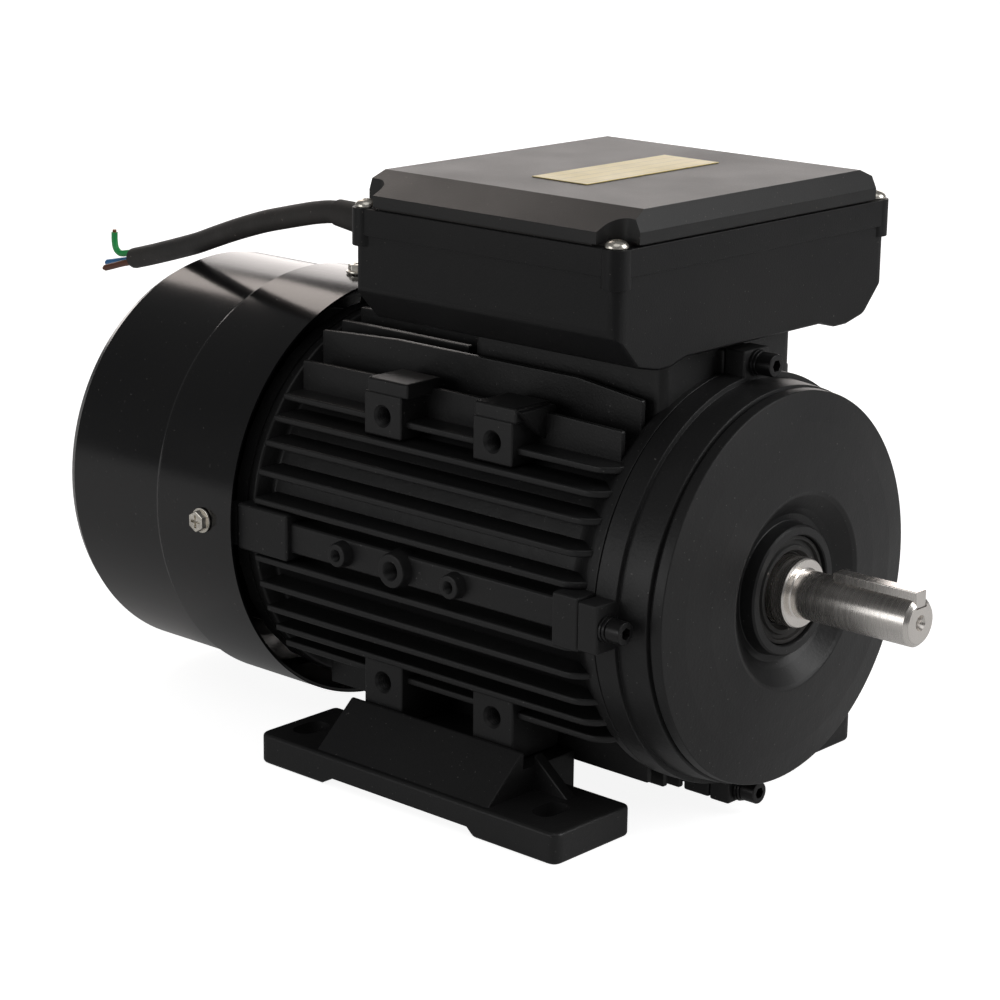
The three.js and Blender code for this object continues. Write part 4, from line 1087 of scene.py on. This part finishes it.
def add_cowl_screw(place, angle):
    x, base = COWL_SCREW_X, COWL_SCREW_SEAT
    long, wide = CROSS_HALF_LENGTH, CROSS_HALF_WIDTH
    head = combine("screw", [
        rod((x, 84, AXIS_Z), (x, base + 1, AXIS_Z), 2.4, 20),
        rod((x, base, AXIS_Z), (x, base + 0.9, AXIS_Z), 5, 40, None, 0.25),
        rod((x, base + 0.7, AXIS_Z), (x, base + 3.6, AXIS_Z), 4.5, 6, 4.3, 0.4),
    ], [
        block((x - long, x + long), (base + 2.4, base + 5), (AXIS_Z - wide, AXIS_Z + wide), 0),
        block((x - wide, x + wide), (base + 2.4, base + 5), (AXIS_Z - long, AXIS_Z + long), 0),
    ])
    piece(around_axis(head, angle), f"hex_cross_screw_{place}", "zinc_steel", nodes=[f"cowl_screw_{place}"])


def add_lid_screw(x, y):
    node = f"lid_screw_{'left' if y < 0 else 'right'}_{'rear' if x < 0 else 'front'}"
    seat = BOX_TOP + 0.3
    head = spun(PAN_HEAD, 36)
    bmesh.ops.translate(head, vec=(x, y, seat), verts=head.verts)
    dome = linked("dome", head)
    long, wide = PAN_CROSS_HALF_LENGTH, PAN_CROSS_HALF_WIDTH
    cross = [block((x - long, x + long), (y - wide, y + wide), (seat + 1.2, seat + 4), 0),
             block((x - wide, x + wide), (y - long, y + long), (seat + 1.2, seat + 4), 0)]
    screw = combine("screw", [dome, rod((x, y, BOX_RIM), (x, y, seat + 0.4), PAN_SHANK, 20)], cross)
    piece(screw, f"pan_screw_{node[10:]}", "zinc_steel", nodes=[node], sharp=35)


# ---- cable gland and edges of the plain castings ----
GLAND_Y, GLAND_Z = -40, 208
GLAND_FRONT, GLAND_REAR = -21.3, -47
GLAND_BORE = 4.8
GLAND_CAP_LENGTH = 9.9
NUT_FRONT, NUT_SHOULDER = -27.7, -37.3
NUT_RIBS = 20
RELIEF_START, RELIEF_END = (-46.2, -40, 207.9), (-68, -38.5, 209.1)
RELIEF_RADII = (6.4, 5.2)


def gland_bar(front, rear, radius, steps=48, bevel=0.0):
    """A round bar on the gland's own axis."""
    return rod((front, GLAND_Y, GLAND_Z), (rear, GLAND_Y, GLAND_Z), radius, steps, bevel=bevel)


def add_gland():
    body = combine("body", [gland_bar(GLAND_FRONT, GLAND_FRONT - 6, 11, 6, 0.7),
                            gland_bar(GLAND_FRONT - 5, GLAND_FRONT - 16, 9.2),
                            gland_bar(GLAND_FRONT + 9, GLAND_FRONT - 1, 7.8)],
                   [gland_bar(GLAND_FRONT - 20, GLAND_FRONT + 12, 5.2)])
    piece(body, "gland_hex_body", "black_plastic", nodes=["cable_gland_body"])
    outline = []
    for step in range(4 * NUT_RIBS):
        turn = 2 * math.pi * step / (4 * NUT_RIBS)
        radius = 12 if step % 4 < 2 else 11.2
        outline.append((GLAND_Y + radius * math.cos(turn), GLAND_Z + radius * math.sin(turn)))
    grip = prism(outline, "yz", NUT_SHOULDER, NUT_FRONT)
    dome = spun([(0, 0), (0, 11), (2, 10.8), (4, 9.9), (6, 8.4), (8, 6.8),
                 (GLAND_CAP_LENGTH, 5.7), (GLAND_CAP_LENGTH, 0)], 48)
    seat = Matrix.Translation((GLAND_REAR + GLAND_CAP_LENGTH, GLAND_Y, GLAND_Z))
    bmesh.ops.transform(dome, matrix=seat @ Matrix.Rotation(-math.pi / 2, 4, "Y"), verts=dome.verts)
    nut = combine("nut", [grip, linked("dome", dome)],
                  [gland_bar(NUT_FRONT + 2, NUT_SHOULDER, 9.5),
                   gland_bar(NUT_FRONT, GLAND_REAR - 1, GLAND_BORE)])
    piece(nut, "gland_ribbed_nut", "black_plastic", nodes=["cable_gland_nut"])
    relief = rod(RELIEF_START, RELIEF_END, RELIEF_RADII[0], 48, end_radius=RELIEF_RADII[1], bevel=0.3)
    piece(relief, "tapered_strain_relief", "black_rubber")


EDGE_BREAK = 0.4
BROKEN_EDGE_NODES = [
    "rear_end_shield", "cooling_fan", "fan_circlip", "terminal_block", "centrifugal_actuator",
    *(f"foot_bolt_{side}_{end}" for side in ("left", "right") for end in ("rear", "front")),
    *(f"rear_shield_screw_{place}" for place in QUARTERS),
]

add_gland()
for node_name in BROKEN_EDGE_NODES:
    edges = frame["nodes"][node_name].modifiers.new("broken_edges", "BEVEL")
    edges.width = EDGE_BREAK * MM
    edges.segments = 2
    edges.limit_method = "ANGLE"
    edges.angle_limit = math.radians(40)

add_shaft()
for place_name, quarter in QUARTERS.items():
    add_front_screw(place_name, quarter)
    add_cowl_screw(place_name, quarter)
for screw_x, screw_y in BOX_SCREWS:
    add_lid_screw(screw_x, screw_y)
